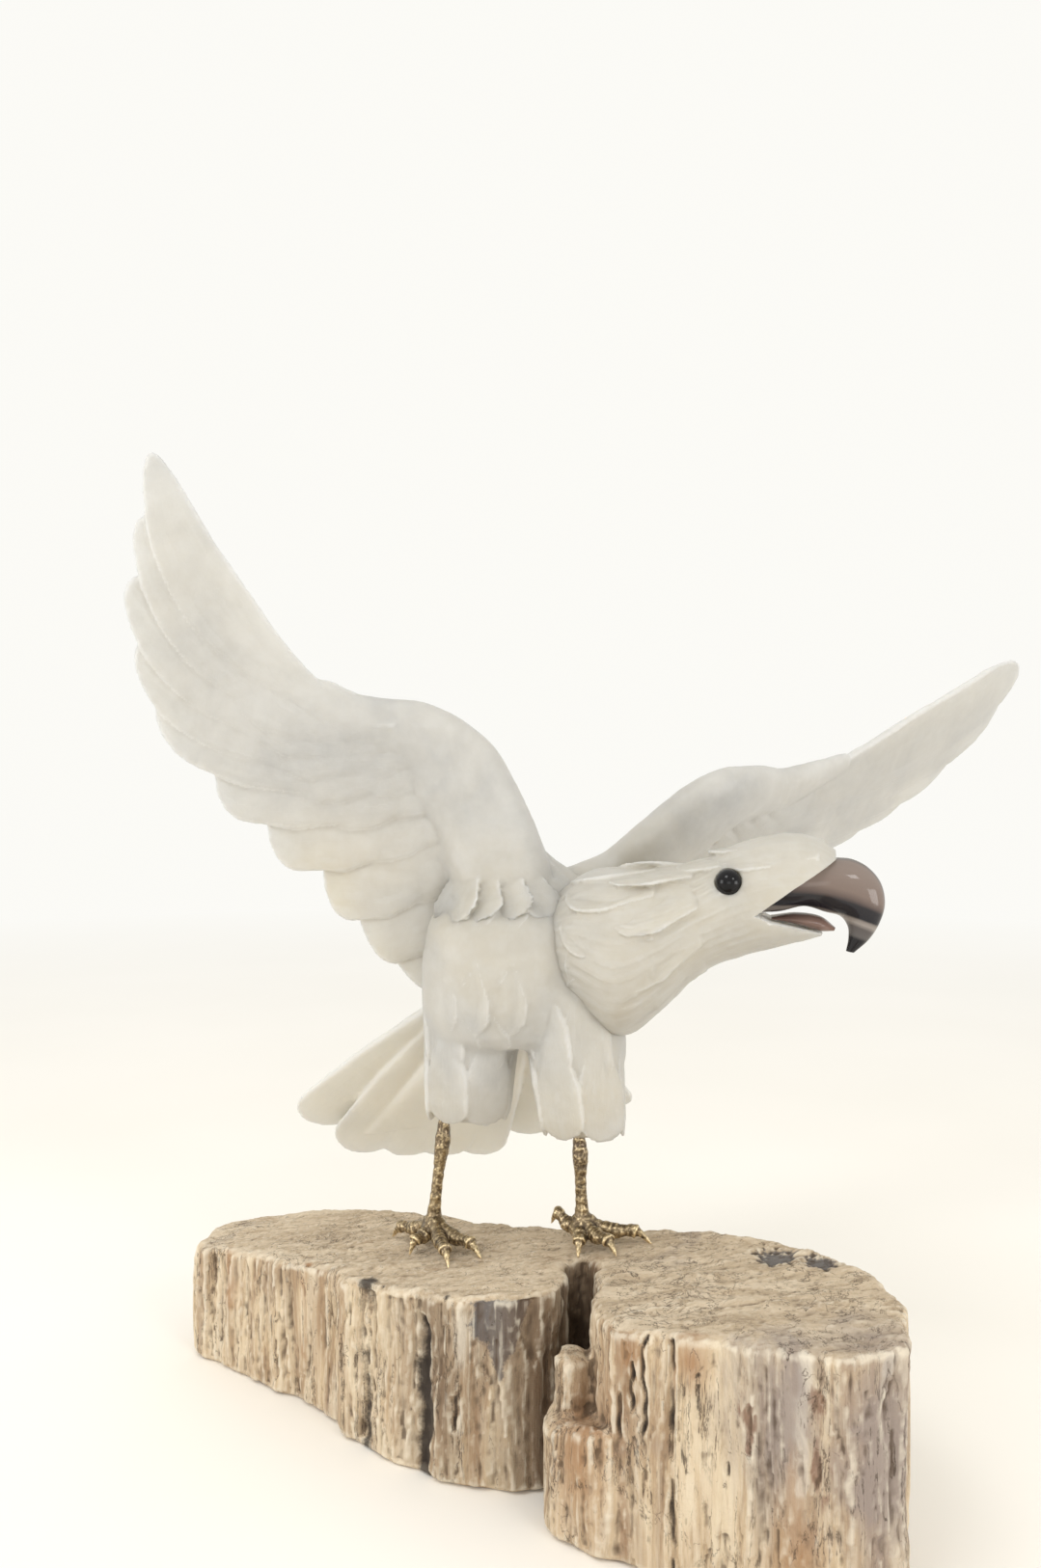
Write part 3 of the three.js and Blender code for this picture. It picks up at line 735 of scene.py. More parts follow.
def mouth_cutter():
    """The wedge that the mouth and the seat of the upper beak are cut with."""
    beyond = 0.4 * HEAD_LENGTH
    gape, forehead = in_head(0.58, 0.105), in_head(0.841, 0.287)
    hinge, chin = in_head(0.627, 0.086), in_head(0.787, 0.048)
    seat = (forehead - gape).normalized()
    above = v(-seat.z, 0, seat.x) * GLUE_GAP
    jaw = (chin - hinge).normalized()
    below = v(0, 0, -GLUE_GAP)
    corners = [
        gape + above,
        hinge + below,
        chin + below,
        chin + jaw * beyond + below,
        forehead + seat * beyond + v(beyond, 0),
        forehead + seat * beyond + above,
    ]
    shape = bmesh.new()
    face = shape.faces.new([shape.verts.new(corner + v(0, -HEAD_LENGTH / 2)) for corner in corners])
    grown = bmesh.ops.extrude_face_region(shape, geom=[face])["geom"]
    moved = [item for item in grown if isinstance(item, bmesh.types.BMVert)]
    bmesh.ops.translate(shape, verts=moved, vec=v(0, HEAD_LENGTH))
    bmesh.ops.recalc_face_normals(shape, faces=shape.faces)
    return shape


def eye_place(side):
    return v(0.5, 0.125 * side, 0.212) * HEAD_LENGTH


def eye_ball(place, radius):
    shape = new_shape()
    bmesh.ops.create_uvsphere(shape, u_segments=48, v_segments=32, radius=radius)
    bmesh.ops.translate(shape, verts=shape.verts, vec=place)
    return shape


# Legs


def on_top(x, y, height):
    return v(x, y, BLOCK_HEIGHT + TOP_RISE_X * x + TOP_RISE_Y * y + height)


def add_tube(shape, points, radius, around, along):
    line = curve_through(points)
    reference = v(0.3, 0.9, 0.3)

    def section(turn, t):
        tangent = direction(line, t)
        a = tangent.cross(reference).normalized()
        b = tangent.cross(a).normalized()
        return line(t) + (a * math.cos(turn) + b * math.sin(turn)) * radius(t, turn)

    loft(shape, section, around, along)


def add_toe(shape, ankle, angle, share, heights=(0.55, 0.5, 0.025)):
    out = v(math.cos(math.radians(angle)), math.sin(math.radians(angle)))
    points = [ankle]
    for way, height in zip((0.42, 0.78, 1), heights):
        place = ankle + out * (way * share * TOE_LENGTH)
        points.append(on_top(place.x, place.y, height * ANKLE_HEIGHT))
    claw_start = 0.68

    def radius(t, turn):
        if t > claw_start:
            return TOE_RADIUS * (0.7 - 0.6 * (t - claw_start) / (1 - claw_start))
        rings = 0.035 * math.sin(80 * t + math.sin(turn))
        return TOE_RADIUS * (1.2 - 0.4 * t) * (1 + 0.14 * math.cos(18 * t) + rings)

    add_tube(shape, points, radius, 18, 90)


LEGS = {
    "right": {
        "top": THIGHS["right"]["leg"],
        "foot": under_trunk(-0.396, -0.0625, 0),
        "toes": [(-130, 0.45), (-75, 1), (-49, 1), (141, 0.78)],
    },
    "left": {
        "top": THIGHS["left"]["leg"],
        "foot": under_trunk(0.269, -0.279, 0),
        "toes": [(-17, 0.89), (-56, 0.69), (-99, 0.47), (137, 0.52, (0.7, 1.05, 0.6))],
    },
}


def leg_shape(top, foot, toes):
    shape = new_shape()
    ankle = on_top(foot.x, foot.y, ANKLE_HEIGHT)
    sole = on_top(foot.x, foot.y, 0.3 * ANKLE_HEIGHT)

    def radius(t, turn):
        collar = 0.45 * bell(t, 0.13, 0.012) * (1 + 0.5 * math.sin(3 * turn))
        joint = 0.42 * bell(t, 0.4, 0.07) * (1 + 0.3 * math.cos(turn))
        palm = 1.35 * bell(t, 0.88, 0.14)
        scales = 0.04 * math.sin(120 * t + 2.5 * math.sin(turn))
        return LEG_RADIUS * (1 + collar + joint + palm + scales)

    points = [top + v(0, 0, LEG_SOCKET), top, top.lerp(ankle, 0.5), ankle, sole]
    add_tube(shape, points, radius, 28, 170)
    for toe in toes:
        add_toe(shape, ankle, *toe)
    return shape


# Materials


def paint(red, green, blue):
    """A colour as a swatch shows it, from 0 to 255, in the light's own measure."""
    return tuple(c / 3294.6 if c <= 10 else ((c / 255 + 0.055) / 1.055) ** 2.4 for c in (red, green, blue))


class Weaver:
    """Short calls for the nodes of one material."""

    def __init__(self, name):
        self.material = bpy.data.materials.new(name)
        self.material.use_nodes = True
        self.tree = self.material.node_tree
        self.tree.nodes.clear()
        self.shader = self.tree.nodes.new("ShaderNodeBsdfPrincipled")
        output = self.tree.nodes.new("ShaderNodeOutputMaterial")
        self.tree.links.new(self.shader.outputs["BSDF"], output.inputs["Surface"])

    def node(self, kind, **values):
        node = self.tree.nodes.new(kind)
        for key, value in values.items():
            setattr(node, key, value)
        return node

    def feed(self, socket, value):
        if isinstance(value, bpy.types.NodeSocket):
            self.tree.links.new(value, socket)
        elif isinstance(value, tuple) and len(value) == 3 and socket.type == "RGBA":
            socket.default_value = (*value, 1)
        else:
            socket.default_value = value

    def place(self, stretch=(1, 1, 1)):
        coordinates = self.node("ShaderNodeTexCoord")
        mapping = self.node("ShaderNodeMapping")
        mapping.inputs["Scale"].default_value = stretch
        self.feed(mapping.inputs["Vector"], coordinates.outputs["Object"])
        return mapping.outputs["Vector"]

    def noise(self, scale, detail=4.0, rough=0.5, distortion=0.0, stretch=(1, 1, 1), at=None):
        texture = self.node("ShaderNodeTexNoise")
        settings = {"Scale": scale, "Detail": detail, "Roughness": rough, "Distortion": distortion}
        for key, value in settings.items():
            texture.inputs[key].default_value = value
        self.feed(texture.inputs["Vector"], at or self.place(stretch))
        return texture.outputs["Fac"]

    def height(self):
        parts = self.node("ShaderNodeSeparateXYZ")
        self.feed(parts.inputs[0], self.place())
        return parts.outputs["Z"]

    def share(self, name):
        return self.node("ShaderNodeAttribute", attribute_name=name).outputs["Fac"]

    def math(self, operation, first, second=0.0):
        node = self.node("ShaderNodeMath", operation=operation)
        self.feed(node.inputs[0], first)
        self.feed(node.inputs[1], second)
        return node.outputs[0]

    def vector(self, x, y, z):
        node = self.node("ShaderNodeCombineXYZ")
        for socket, value in zip(node.inputs, (x, y, z)):
            self.feed(socket, value)
        return node.outputs[0]

    def ramp(self, value, *stops):
        """Colours along a value. Each stop is its place and a swatch's red, green and blue."""
        ramp = self.node("ShaderNodeValToRGB")
        elements = ramp.color_ramp.elements
        while len(elements) < len(stops):
            elements.new(0.5)
        for element, (position, *swatch) in zip(elements, stops):
            element.position = position
            element.color = (*paint(*swatch), 1)
        self.feed(ramp.inputs["Fac"], value)
        return ramp.outputs["Color"]

    def mix(self, amount, first, second):
        mix = self.node("ShaderNodeMix", data_type="RGBA")
        for index, value in ((0, amount), (6, first), (7, second)):
            self.feed(mix.inputs[index], value)
        return mix.outputs[2]

    def coated(self, colour, *coats):
        """A colour under thin coats of others. Each coat is its amount and its swatch."""
        for amount, swatch in coats:
            colour = self.mix(amount, colour, paint(*swatch))
        return colour

    def between(self, value, low, high, start=0.0, end=1.0):
        spread = self.node("ShaderNodeMapRange", clamp=True)
        self.feed(spread.inputs["Value"], value)
        for key, number in (("From Min", low), ("From Max", high), ("To Min", start), ("To Max", end)):
            spread.inputs[key].default_value = number
        return spread.outputs["Result"]

    def ragged(self, name, texture, spread=0.5, sharp=0.08, most=1.0):
        """A share with its border broken up by a texture."""
        stray = self.math("MULTIPLY", self.math("SUBTRACT", texture, 0.5), spread)
        broken = self.math("ADD", self.share(name), stray)
        return self.between(broken, 0.5 - sharp, 0.5 + sharp, 0, most)

    def cracks(self, texture, width, most, where):
        """Thin lines along a texture's middle value, only where another texture is high."""
        away = self.math("ABSOLUTE", self.math("SUBTRACT", texture, 0.5))
        line = self.between(away, 0.3 * width, width, most, 0)
        return self.math("MULTIPLY", line, self.between(where, 0.47, 0.55))

    def bump(self, height, distance, strength=1.0, under=None):
        bump = self.node("ShaderNodeBump")
        bump.inputs["Strength"].default_value = strength
        bump.inputs["Distance"].default_value = distance
        self.feed(bump.inputs["Height"], height)
        if under is not None:
            self.feed(bump.inputs["Normal"], under)
        return bump.outputs["Normal"]

    def set(self, **values):
        for key, value in values.items():
            self.feed(self.shader.inputs[key.replace("_", " ")], value)
        return self.material


def quartz_material():
    w = Weaver("milky_quartz")
    veils = w.noise(26, 5, 0.55, 0.7)
    clouds = w.noise(9, 3, 0.5, 0.4)
    mottle = w.noise(150, 4, 0.6)
    across, own = w.math("MULTIPLY", w.share("across"), 5), w.math("MULTIPLY", w.share("own"), 9)
    barbs = w.noise(3.0, 3, 0.55, at=w.vector(across, w.share("along"), own))
    low = w.between(w.height(), 0.235, 0.3, 0.85, 0.12)
    edge = w.share("edge")
    colour = w.coated(
        w.ramp(veils, (0.3, 190, 189, 186), (0.5, 199, 197, 192), (0.7, 210, 208, 203)),
        (w.math("MULTIPLY", low, w.between(clouds, 0.36, 0.6)), (204, 196, 178)),
        (w.between(mottle, 0.4, 0.75, 0, 0.3), (219, 218, 214)),
        (w.between(barbs, 0.5, 0.75, 0, 0.3), (216, 215, 211)),
        # painted light: the share named clear paints the back of the tail paler, as light shining through the
        # stone from behind
        (w.math("MULTIPLY", w.share("clear"), 0.75), (240, 236, 225)),
        # painted shade in creases and a painted highlight on standing-out edges
        (w.between(edge, -0.12, -0.02, 0.45, 0), (160, 155, 146)),
        (w.between(edge, 0.03, 0.14, 0, 0.55), (240, 239, 236)),
        # painted highlight: thin lit lines along each feather's edge
        (w.between(w.share("rim"), 0.55, 1.0, 0, 0.4), (236, 235, 232)),
    )
    return w.set(
        Base_Color=colour,
        Roughness=w.between(mottle, 0.3, 0.7, 0.36, 0.52),
        IOR=1.54,
        Transmission_Weight=0.3,
        Subsurface_Weight=0.6,
        Subsurface_Radius=(1.0, 0.93, 0.82),
        Subsurface_Scale=0.014,
        Normal=w.bump(w.noise(420, 3, 0.6), 0.0002, 0.45, w.bump(barbs, 0.0006, 0.35)),
    )


def agate_material():
    w = Weaver("banded_agate")
    waver = w.math("SUBTRACT", w.noise(90, 3, 0.5, stretch=(0.4, 0.4, 1)), 0.5)
    banded = w.ramp(
        w.math("ADD", w.share("band"), w.math("MULTIPLY", waver, 0.05)),
        (0.0, 124, 111, 103),
        (0.24, 116, 101, 93),
        (0.31, 92, 79, 74),
        (0.36, 38, 36, 39),
        (0.49, 30, 29, 34),
        (0.515, 124, 116, 110),
        (0.55, 140, 132, 126),
        (0.6, 84, 78, 76),
        (0.69, 88, 84, 82),
        (0.73, 26, 25, 28),
    )
    brown = w.ramp(w.noise(60, 3), (0.3, 98, 75, 67), (0.7, 130, 105, 94))
    dark_rim = w.between(w.share("rim"), 0.35, 1.0, 0, 0.9)
    colour = w.coated(w.mix(w.share("brown"), banded, brown), (dark_rim, (40, 36, 36)))
    return w.set(Base_Color=colour, Roughness=0.09, IOR=1.54, Specular_IOR_Level=0.28)


def onyx_material():
    w = Weaver("black_bead")
    colour = w.ramp(w.noise(300, 2), (0.3, 8, 8, 10), (0.7, 20, 18, 20))
    return w.set(Base_Color=colour, Roughness=0.05, IOR=1.54, Specular_IOR_Level=0.22)


def brass_material():
    w = Weaver("antique_brass")
    grime = w.noise(260, 4, 0.6)
    patina = w.noise(70, 3, 0.5)
    edge = w.share("edge")
    colour = w.coated(
        w.ramp(grime, (0.3, 78, 67, 53), (0.5, 126, 109, 84), (0.75, 172, 153, 119)),
        (w.between(patina, 0.5, 0.75, 0, 0.5), (112, 98, 84)),
        # darker towards the top of each leg
        (w.share("darker_near_top"), (82, 70, 62)),
        (w.between(edge, 0.005, 0.05, 0, 0.9), (236, 214, 170)),
        (w.between(edge, -0.05, -0.005, 0.85, 0), (62, 52, 42)),
    )
    return w.set(
        Base_Color=colour,
        Metallic=0.85,
        Roughness=w.between(grime, 0.3, 0.7, 0.45, 0.24),
        Normal=w.bump(grime, 0.0003, 0.6),
    )


def wood_material():
    w = Weaver("petrified_wood")
    grain = w.noise(70, 10, 0.68, 0.6, stretch=(1, 1, 0.1))
    fibre = w.noise(380, 8, 0.7, 0.4, stretch=(1, 1, 0.07))
    blotch = w.noise(19, 9, 0.66, 1.2, stretch=(1, 1, 0.4))
    streaks = w.noise(33, 8, 0.7, 1.1, stretch=(1, 1, 0.09))
    rings = w.noise(44, 10, 0.7, 1.6, stretch=(0.6, 1.5, 1))
    flaws = w.noise(34, 7, 0.6, 0.5, stretch=(1, 1, 0.5))
    rough = w.noise(620, 8, 0.75)
    edge = w.share("edge")
    grain_colours = ((0.3, 128, 104, 82), (0.41, 172, 147, 118), (0.49, 202, 180, 149), (0.58, 214, 196, 167))
    ring_colours = ((0.3, 160, 141, 117), (0.42, 184, 164, 137), (0.52, 202, 183, 156), (0.62, 214, 197, 172))
    side = w.coated(
        w.ramp(grain, *grain_colours, (0.7, 184, 160, 130)),
        (w.between(fibre, 0.44, 0.6, 0, 0.5), (226, 213, 190)),
        (w.between(blotch, 0.52, 0.62, 0, 0.5), (164, 138, 110)),
        (w.between(blotch, 0.34, 0.44, 0.45, 0), (184, 174, 160)),
        (w.between(streaks, 0.52, 0.63, 0, 0.6), (146, 118, 92)),
        (w.between(streaks, 0.36, 0.46, 0.5, 0), (222, 208, 184)),
    )
    top = w.coated(
        w.ramp(rings, *ring_colours, (0.74, 170, 148, 122)),
        (w.between(rough, 0.46, 0.62, 0, 0.25), (222, 210, 190)),
    )
    colour = w.coated(
        w.mix(w.ragged("upward", rough, 0.5, 0.2), side, top),
        (w.ragged("pale", fibre, 1.4, 0.2, 0.85), (232, 222, 204)),
        (w.ragged("grey", blotch, 2.2, 0.3, 0.85), (146, 134, 128)),
        (w.ragged("rust", grain, 2.0, 0.3, 0.8), (156, 116, 80)),
        (w.ragged("slate", rough, 1.5, 0.16, 0.85), (92, 93, 97)),
        (w.ragged("liver", fibre, 1.9, 0.2, 0.7), (122, 88, 70)),
        # painted shade inside the cleft in the block's front
        (w.ragged("cleft_shade", grain, 1.6, 0.35, 0.85), (104, 82, 63)),
        (w.cracks(grain, 0.012, 0.85, blotch), (74, 62, 52)),
        (w.cracks(flaws, 0.006, 0.7, fibre), (74, 62, 52)),
        (w.between(rough, 0.28, 0.38, 0.6, 0), (112, 88, 68)),
        # painted shade in creases; standing-out edges paler, partly bright broken chips and partly painted
        # highlight
        (w.between(edge, -0.2, -0.03, 0.75, 0), (86, 70, 56)),
        (w.between(edge, 0.04, 0.22, 0, 0.55), (236, 226, 206)),
        # painted shade down the deep fissures
        (w.ragged("fissure_shade", rough, 0.9, 0.2, 0.9), (60, 54, 50)),
    )
    height = w.math("ADD", w.math("MULTIPLY", fibre, 0.5), w.math("MULTIPLY", rough, 0.5))
    return w.set(
        Base_Color=colour,
        Roughness=w.between(rough, 0.3, 0.7, 0.8, 1.0),
        Specular_IOR_Level=0.2,
        Normal=w.bump(height, 0.0016, 0.75, w.bump(grain, 0.002, 0.5)),
    )


MATERIALS = {
    "quartz": quartz_material(),
    "agate": agate_material(),
    "onyx": onyx_material(),
    "cast_brass": brass_material(),
    "petrified_wood": wood_material(),
}

# Building the pieces


def carve_quartz(name, skin, node, strands=0.0, crispness=1.0, backlit_from=math.inf):
    """Gives a skin the waver of hand carving and fine strands across its feathers, and marks how far
    its edges stand out, for a painted highlight on edges and painted shade in creases.
    Farther back than the given depth its stone is painted paler, as painted light that shines through it from
    behind."""
    places, normals = vertex_arrays(skin)
    waver = 0.42 * noise_at(places, 15, 2) + 0.14 * noise_at(places, 4.5, 2, shift=7)
    if strands:
        across, along = read_share(skin, "across"), read_share(skin, "along")
        waver += strands * np.sin(15 * across + 2 * np.sin(7 * along)) * np.clip(4 * along - 0.6, 0, 1)
    set_places(skin, places + normals * waver[:, None])
    # edge: how far each vertex stands out, for the painted highlight on edges and painted shade in creases
    add_share(skin, "edge", crispness * standing_out(skin, 2))
    # the share named clear holds painted backlight, growing paler farther back than the given depth
    add_share(skin, "clear", np.clip((vertex_arrays(skin)[0][:, 1] - backlit_from) / 40, 0, 1))
    finished(name, skin, "quartz", node)


def build_body():
    shape = new_shape()
    loft(shape, trunk_skin(), 72, 48)
    for place in THIGHS.values():
        add_thigh_core(shape, place["hip"], place["knee"])
    shape = softened_core(shape, "trunk_core")
    add_breast_feathers(shape)
    for place in THIGHS.values():
        add_thigh_feathers(shape, place["hip"], place["knee"])
    add_tail(shape)
    skin = carved_skin(shape, "trunk")
    carve_quartz("trunk_and_tail", skin, "body_and_tail", crispness=0.5, backlit_from=45)


def build_wings():
    for side, parts in WINGS.items():
        shape = wing_shape(**{key: value for key, value in parts.items() if key != "frame"})
        bmesh.ops.transform(shape, matrix=parts["frame"], verts=shape.verts)
        if side == "right":
            add_shoulder_feathers(shape)
        skin = carved_skin(shape, "wing")
        carve_quartz("quartz_wing_" + side, skin, "wing_" + side, crispness=0.75)


def build_head():
    def strands(turn, share):
        return 0, 1 - share, 3 * math.cos(turn), 0.5

    shape = new_shape()
    loft(shape, rail_section(NECK_ROWS), 72, 72, strands)
    add_hood(shape)
    add_crown(shape)
    skin = carved_skin(shape, "head")
    skin = cut_away(skin, mouth_cutter())
    for side in (-1, 1):
        skin = cut_away(skin, eye_ball(eye_place(side), EYE_RADIUS + GLUE_GAP))
    skin.transform(HEAD_FRAME)
    carve_quartz("neck_and_crown", skin, "head_and_neck", 0.2, 0.55)


def build_beak():
    for name, rows, node in (
        ("agate_hook", UPPER_BEAK_ROWS, "beak_upper"),
        ("agate_jaw", LOWER_BEAK_ROWS, "beak_lower"),
    ):
        shape = new_shape()
        band = shape.verts.layers.float.new("band")
        brown = shape.verts.layers.float.new("brown")

        def marks(turn, share):
            return max(0, math.cos(turn)) ** 12, share, math.cos(turn), 0

        loft(shape, rail_section(rows), 72, 96, marks)
        for vert in shape.verts:
            x, z = vert.co.x / HEAD_LENGTH, vert.co.z / HEAD_LENGTH
            below_curve = 0.186 - 0.9 * max(0, x - 0.69) ** 2 - z
            vert[band] = min(max((below_curve + 0.1) / 0.3, 0), 1)
            vert[brown] = 0.9 if node == "beak_lower" else 0
        bmesh.ops.transform(shape, matrix=HEAD_FRAME, verts=shape.verts)
        finished(name, shape, "agate", node)


def build_eyes():
    for side, sign in (("right", -1), ("left", 1)):
        shape = eye_ball(eye_place(sign), EYE_RADIUS)
        bmesh.ops.transform(shape, matrix=HEAD_FRAME, verts=shape.verts)
        finished("bead_eye_" + side, shape, "onyx", "eye_" + side)


def build_legs():
    for side, parts in LEGS.items():
        shape = leg_shape(**parts)
        skin = fused(shape, "leg")
        shape.free()
        places, normals = vertex_arrays(skin)
        waver = 0.24 * noise_at(places, 2.6, 3)
        places = places + normals * waver[:, None]
        floor = BLOCK_HEIGHT + TOP_RISE_X * places[:, 0] + TOP_RISE_Y * places[:, 1]
        places[:, 2] = np.maximum(places[:, 2], floor + TOE_GAP)
        set_places(skin, places)
        add_share(skin, "edge", standing_out(skin, 1))
        # darker towards the top of each leg, over its last 22 mm
        dark_from = parts["top"].z - 22
        add_share(skin, "darker_near_top", np.clip((places[:, 2] - dark_from) / 24, 0, 0.85))
        finished("brass_leg_" + side, skin, "cast_brass", "leg_" + side)


def near_line(places, x, y, low, high, width, wander=0.0):
    """1 on an upright line on the block's side and 0 beyond its width, between two heights."""
    z = places[:, 2]
    offset = wander * np.sin(0.21 * z + x) + 0.5 * wander * np.sin(0.6 * z + y)
    across = np.hypot(places[:, 0] - x - offset, places[:, 1] - y)
    ends = np.clip((z - low) / 4 + 0.5, 0, 1) * np.clip((high - z) / 4 + 0.5, 0, 1)
    return np.exp(-((across / width) ** 2)) * ends


def near_spot(places, x, y, z, half_x, half_z):
    """1 at the middle of a spot and 0.5 at its border, for places at any depth near it."""
    across = np.hypot(places[:, 0] - x, 0.8 * (places[:, 1] - y)) / half_x
    return np.clip(1 - 0.5 * np.hypot(across, (places[:, 2] - z) / half_z), 0, 1)


FISSURES = (
    # x, y, lowest, highest, width, depth, wander
    (-54, 0, -5, 90, 4.6, 6.5, 0.8),
    (-29, -22, -5, 66, 3.8, 5.5, 1.0),
    (-47, -8, 20, 84, 1.2, 3, 1.5),
    (-18, -27, 30, 80, 1.4, 3, 1.5),
    (-69, 11, 2, 62, 0.9, 2, 0.8),
    (-41, -13, 8, 70, 0.8, 2, 1.0),
    (-14, -30, 6, 48, 1.1, 3, 1.0),
    (57.5, -82.5, 50, 92, 0.9, 3, 0.9),
    (67.6, -88, -5, 92, 0.9, 3, 0.6),
    (53.5, -80, 60, 78, 0.9, 3, 0.8),
    (49.5, -77, 47, 68, 0.9, 3, 0.8),
    (77, -93, 66, 86, 0.7, 2, 1.5),
    (85.5, -97, 40, 52, 0.8, 2, 0.5),
    (98, -105, 4, 30, 0.9, 2, 0.6),
    (34, -68, 3, 60, 1.0, 3, 0.8),
    (27, -58, 3, 40, 1.0, 3, 0.8),
)
LIVER_HOLES = (
    # x, y, z, half width, half height
    (112.5, -113.5, 77, 2.2, 9),
    (114, -114, 57, 2.8, 8),
    (92, -103, 66, 1.4, 5),
    (88, -102, 74, 1.3, 6),
)


def block_skin():
    """The solid block's own form as one skin, in millimetres."""
    shape = bmesh.new()
    shape.from_mesh(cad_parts["petrified_wood_block"].data)
    bmesh.ops.remove_doubles(shape, verts=shape.verts, dist=1e-6)
    bmesh.ops.scale(shape, vec=(1 / MM,) * 3, verts=shape.verts)
    skin = fused(shape, "block")
    shape.free()
    return skin


def build_block():
    """The block with its broken sides, its worn top and the places of its colours."""
    skin = block_skin()
    places, normals = vertex_arrays(skin)
    x, y, z = places.T
    upness = np.clip(normals[:, 2], 0, 1)
    sideness = np.clip(1.3 - 1.5 * np.abs(normals[:, 2]), 0, 1)

    splinters = noise_at(places, 8, 4, stretch=(1, 1, 9))
    slabs = noise_at(places, 26, 2, stretch=(1, 1, 6), shift=3)
    chips = noise_at(places, 6, 3, stretch=(1, 1, 1.6), shift=11)
    grooves = -np.abs(noise_at(places, 13, 3, stretch=(1, 1, 8), shift=5))
    grit = noise_at(places, 3.4, 2, stretch=(1, 1, 2.2), shift=31)
    split = np.clip(1 + 0.6 * noise_at(places, 7, 3, stretch=(1, 1, 4), shift=17), 0.6, 1.5)
    depth = sideness * (
        1.3 * splinters + 1.8 * np.round(2.4 * slabs) / 2.4 + 3.4 * grooves + 0.9 * chips + 0.55 * grit + 0.9
    )
    # the painted shade down each fissure, stronger for the deeper ones
    fissure_shade = np.zeros(len(places), np.float32)
    for at_x, at_y, low, high, width, deep, wander in FISSURES:
        crack = near_line(places, at_x, at_y, low, high, width * split, wander)
        depth -= sideness * deep * crack
        fissure_shade = np.maximum(fissure_shade, crack * min(1, 0.5 + deep / 8))
    liver = np.zeros(len(places), np.float32)
    for where in LIVER_HOLES:
        hole = near_spot(places, *where)
        hole = np.clip(hole + 0.7 * chips + 0.3 * grit, 0, 1) * (hole > 0.05)
        depth -= 1.2 * sideness * np.clip(3 * (hole - 0.45), 0, 1)
        liver = np.maximum(liver, hole)

    def line(*where):
        return near_line(places, *where)

    def spot(*where):
        return near_spot(places, *where)

    crust = noise_at(places, 15, 4, stretch=(1.6, 0.7, 1))
    crumbs = noise_at(places, 3.2, 3, shift=5)
    hollow = np.maximum(spot(120, -21, 94, 10, 30), spot(136, -33, 97, 8, 30))
    hollow = np.clip(3 * (hollow + 0.3 * crumbs - 0.42), 0, 1)
    past_step = y + 64 + 0.35 * np.maximum(0, x - 95) - 4 * np.sin(0.12 * x)
    step = upness * (x > 40) * (np.exp(-((past_step / 1.5) ** 2)) - 0.7 / (1 + np.exp(past_step / 1.2)))
    depth += upness * (1.2 * crust + 0.45 * crumbs - 0.5 - 2.6 * hollow - 1.1 * np.abs(step))
    depth = np.where(normals[:, 2] < -0.7, 0, np.minimum(depth, 0.9))
    places = places + normals * depth[:, None]
    places[:, 2] = np.maximum(places[:, 2], 0)
    set_places(skin, places)

    wedge = (0.5 * (z - 50) - np.abs(x - 3)) / 5 + 0.5 + 0.9 * chips + 0.5 * splinters
    slate = np.maximum.reduce(
        [
            np.clip(wedge, 0, 1) * (y < -20) * sideness,
            0.45 * fissure_shade * (x < -40),
            0.9 * hollow * upness,
        ]
    )
    pale = np.maximum.reduce(
        [
            line(108.5, -112, 48, 98, 2.6, 0.8),
            line(137, -114, 90, 99, 4, 1),
            line(146, -104, 48, 72, 3, 1),
            spot(-12, -31, 64, 3, 11),
            0.75 * spot(-90, 30, 85, 34, 6) + 0.3 * upness * (x < 20),
        ]
    )
    grey = np.maximum(spot(100, -108, 72, 13, 30), spot(136, -112, 66, 16, 34))
    rust = np.maximum.reduce(
        [
            line(-88.5, 33, 16, 76, 2, 0.8),
            0.75 * line(-133.5, 63, 30, 82, 6, 1),
            spot(53, -80, 80, 5, 8),
            0.9 * spot(36, -66, 40, 12, 34),
            0.85 * spot(73, -92, 84, 6, 8),
            0.7 * spot(104, -111, 22, 12, 26),
        ]
    )
    # painted shade on the walls deep inside the cleft
    shaded_cleft_walls = (spot(36, -12, 40, 26, 90), spot(22, -30, 35, 17, 80), 0.8 * spot(-22, -25, 45, 20, 50))
    cleft_shade = sideness * np.maximum.reduce(shaded_cleft_walls)
    for name, values in (
        ("edge", standing_out(skin, 1)),
        ("fissure_shade", fissure_shade),
        ("slate", slate),
        ("pale", pale),
        ("grey", grey),
        ("rust", rust),
        ("liver", liver),
        ("cleft_shade", cleft_shade),
        ("upward", np.clip(1.7 * upness - 0.5, 0, 1)),
    ):
        add_share(skin, name, values)
    finished("wood_block", skin, "petrified_wood", "petrified_wood_block")


build_block()
build_body()
build_wings()
build_head()
build_beak()
build_eyes()
build_legs()

# Floor, light and camera

ROOM_COLOUR = (1.0, 0.99, 0.95)
ROOM_STRENGTH = 0.97
LAMP_AIM = (0, 0, 0.2)


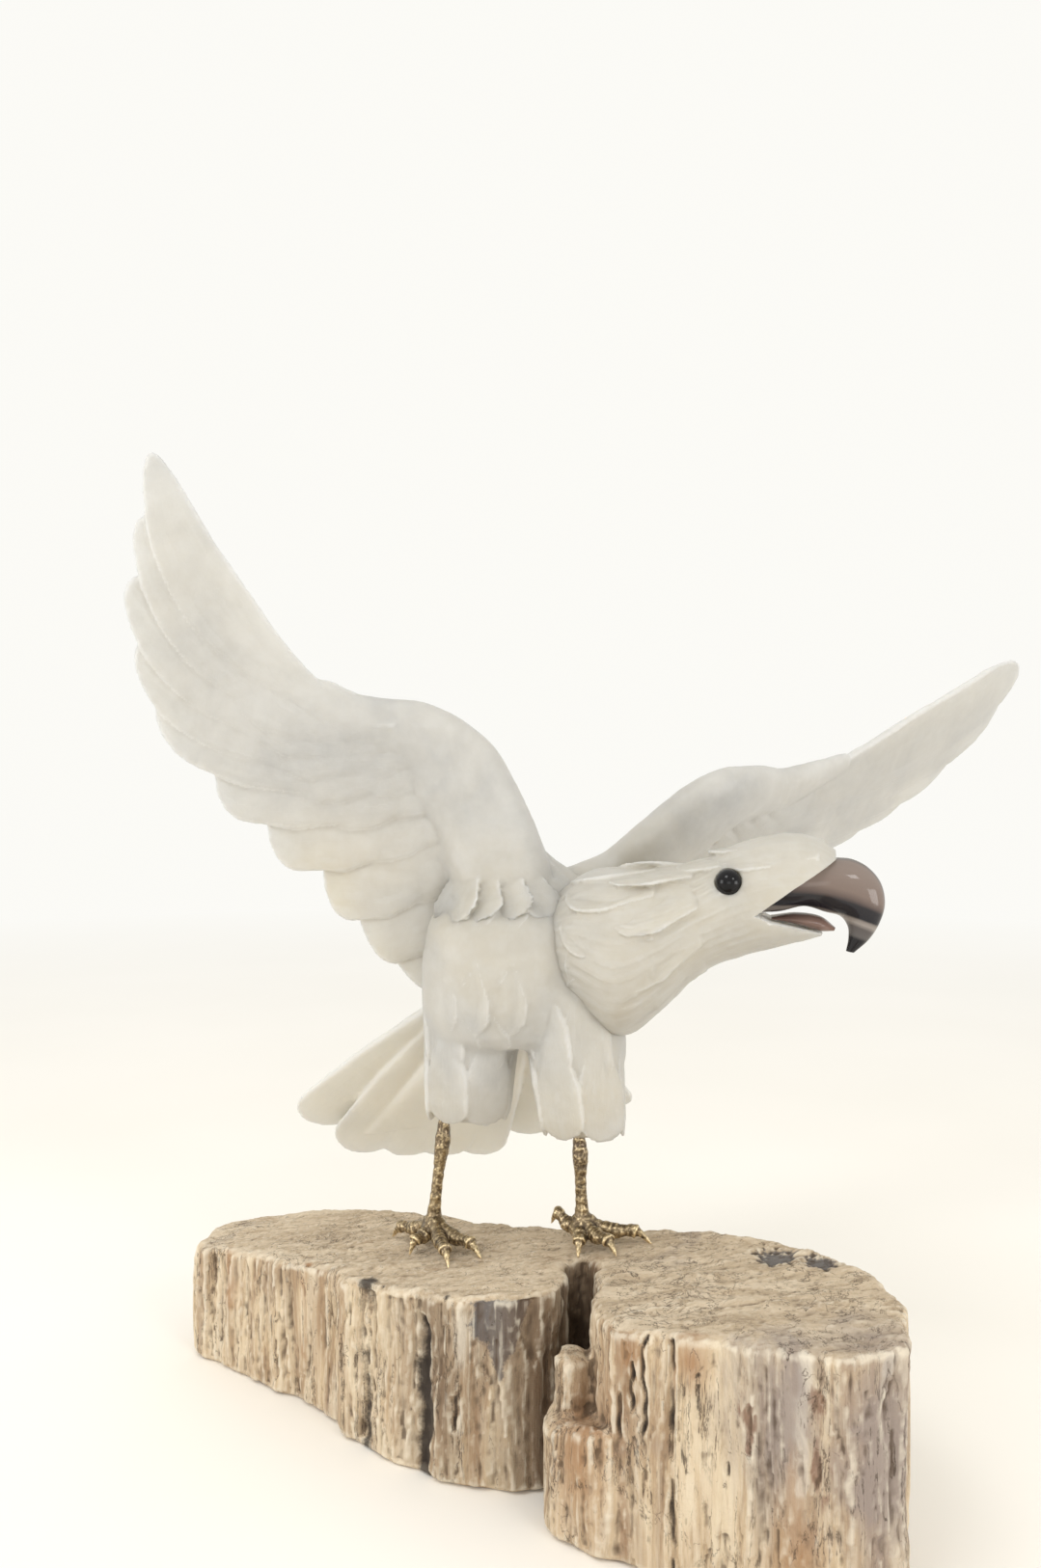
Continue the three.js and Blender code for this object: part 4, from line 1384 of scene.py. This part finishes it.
def build_stage():
    w = Weaver("floor_paint")
    tone = w.ramp(w.noise(3, 2), (0.3, 240, 236, 228), (0.7, 244, 240, 233))
    distance = w.node("ShaderNodeVectorMath", operation="LENGTH")
    w.feed(distance.inputs[0], w.place())
    far = w.between(distance.outputs["Value"], 0.35, 2.2)
    w.set(
        Base_Color=w.mix(far, tone, (0.0, 0.0, 0.0)),
        Roughness=0.9,
        Specular_IOR_Level=0.0,
        Emission_Color=ROOM_COLOUR,
        Emission_Strength=w.math("MULTIPLY", far, ROOM_STRENGTH),
    )
    shape = bmesh.new()
    bmesh.ops.create_grid(shape, x_segments=1, y_segments=1, size=12)
    mesh = bpy.data.meshes.new("floor")
    shape.to_mesh(mesh)
    shape.free()
    mesh.materials.append(w.material)
    floor = put_in("floor", mesh)


def build_light():
    world = bpy.data.worlds.new("soft_room")
    world.use_nodes = True
    background = world.node_tree.nodes["Background"]
    background.inputs["Color"].default_value = (*ROOM_COLOUR, 1)
    background.inputs["Strength"].default_value = ROOM_STRENGTH
    bpy.context.scene.world = world
    for name, place, size, power in (
        ("key", (-0.5, -0.7, 1.4), 0.5, 4.8),
        ("fill", (0.7, -0.9, 0.9), 0.3, 2),
        ("low", (-0.1, -1.3, 0.12), 0.7, 2.2),
        ("left", (-1.2, -0.4, 0.35), 0.6, 4.5),
        ("right", (1.1, -0.7, 0.16), 0.6, 5.5),
    ):
        lamp = bpy.data.lights.new(name, "AREA")
        lamp.size = size
        lamp.energy = power
        holder = put_in(name, lamp)
        holder.location = place
        holder.rotation_euler = (Vector(LAMP_AIM) - Vector(place)).to_track_quat("-Z", "Y").to_euler()


def build_camera():
    camera = bpy.data.cameras.new("camera")
    camera.sensor_width = 36
    camera.lens = FOCAL_PIXELS * camera.sensor_width / FRAME_HEIGHT
    camera.clip_start = 0.01
    holder = put_in("camera", camera)
    holder.location = Vector(CAMERA_PLACE) * MM
    holder.rotation_euler = (math.radians(90), 0, 0)
    bpy.context.scene.camera = holder


build_stage()
build_light()
build_camera()
bpy.context.scene.view_settings.view_transform = "Standard"
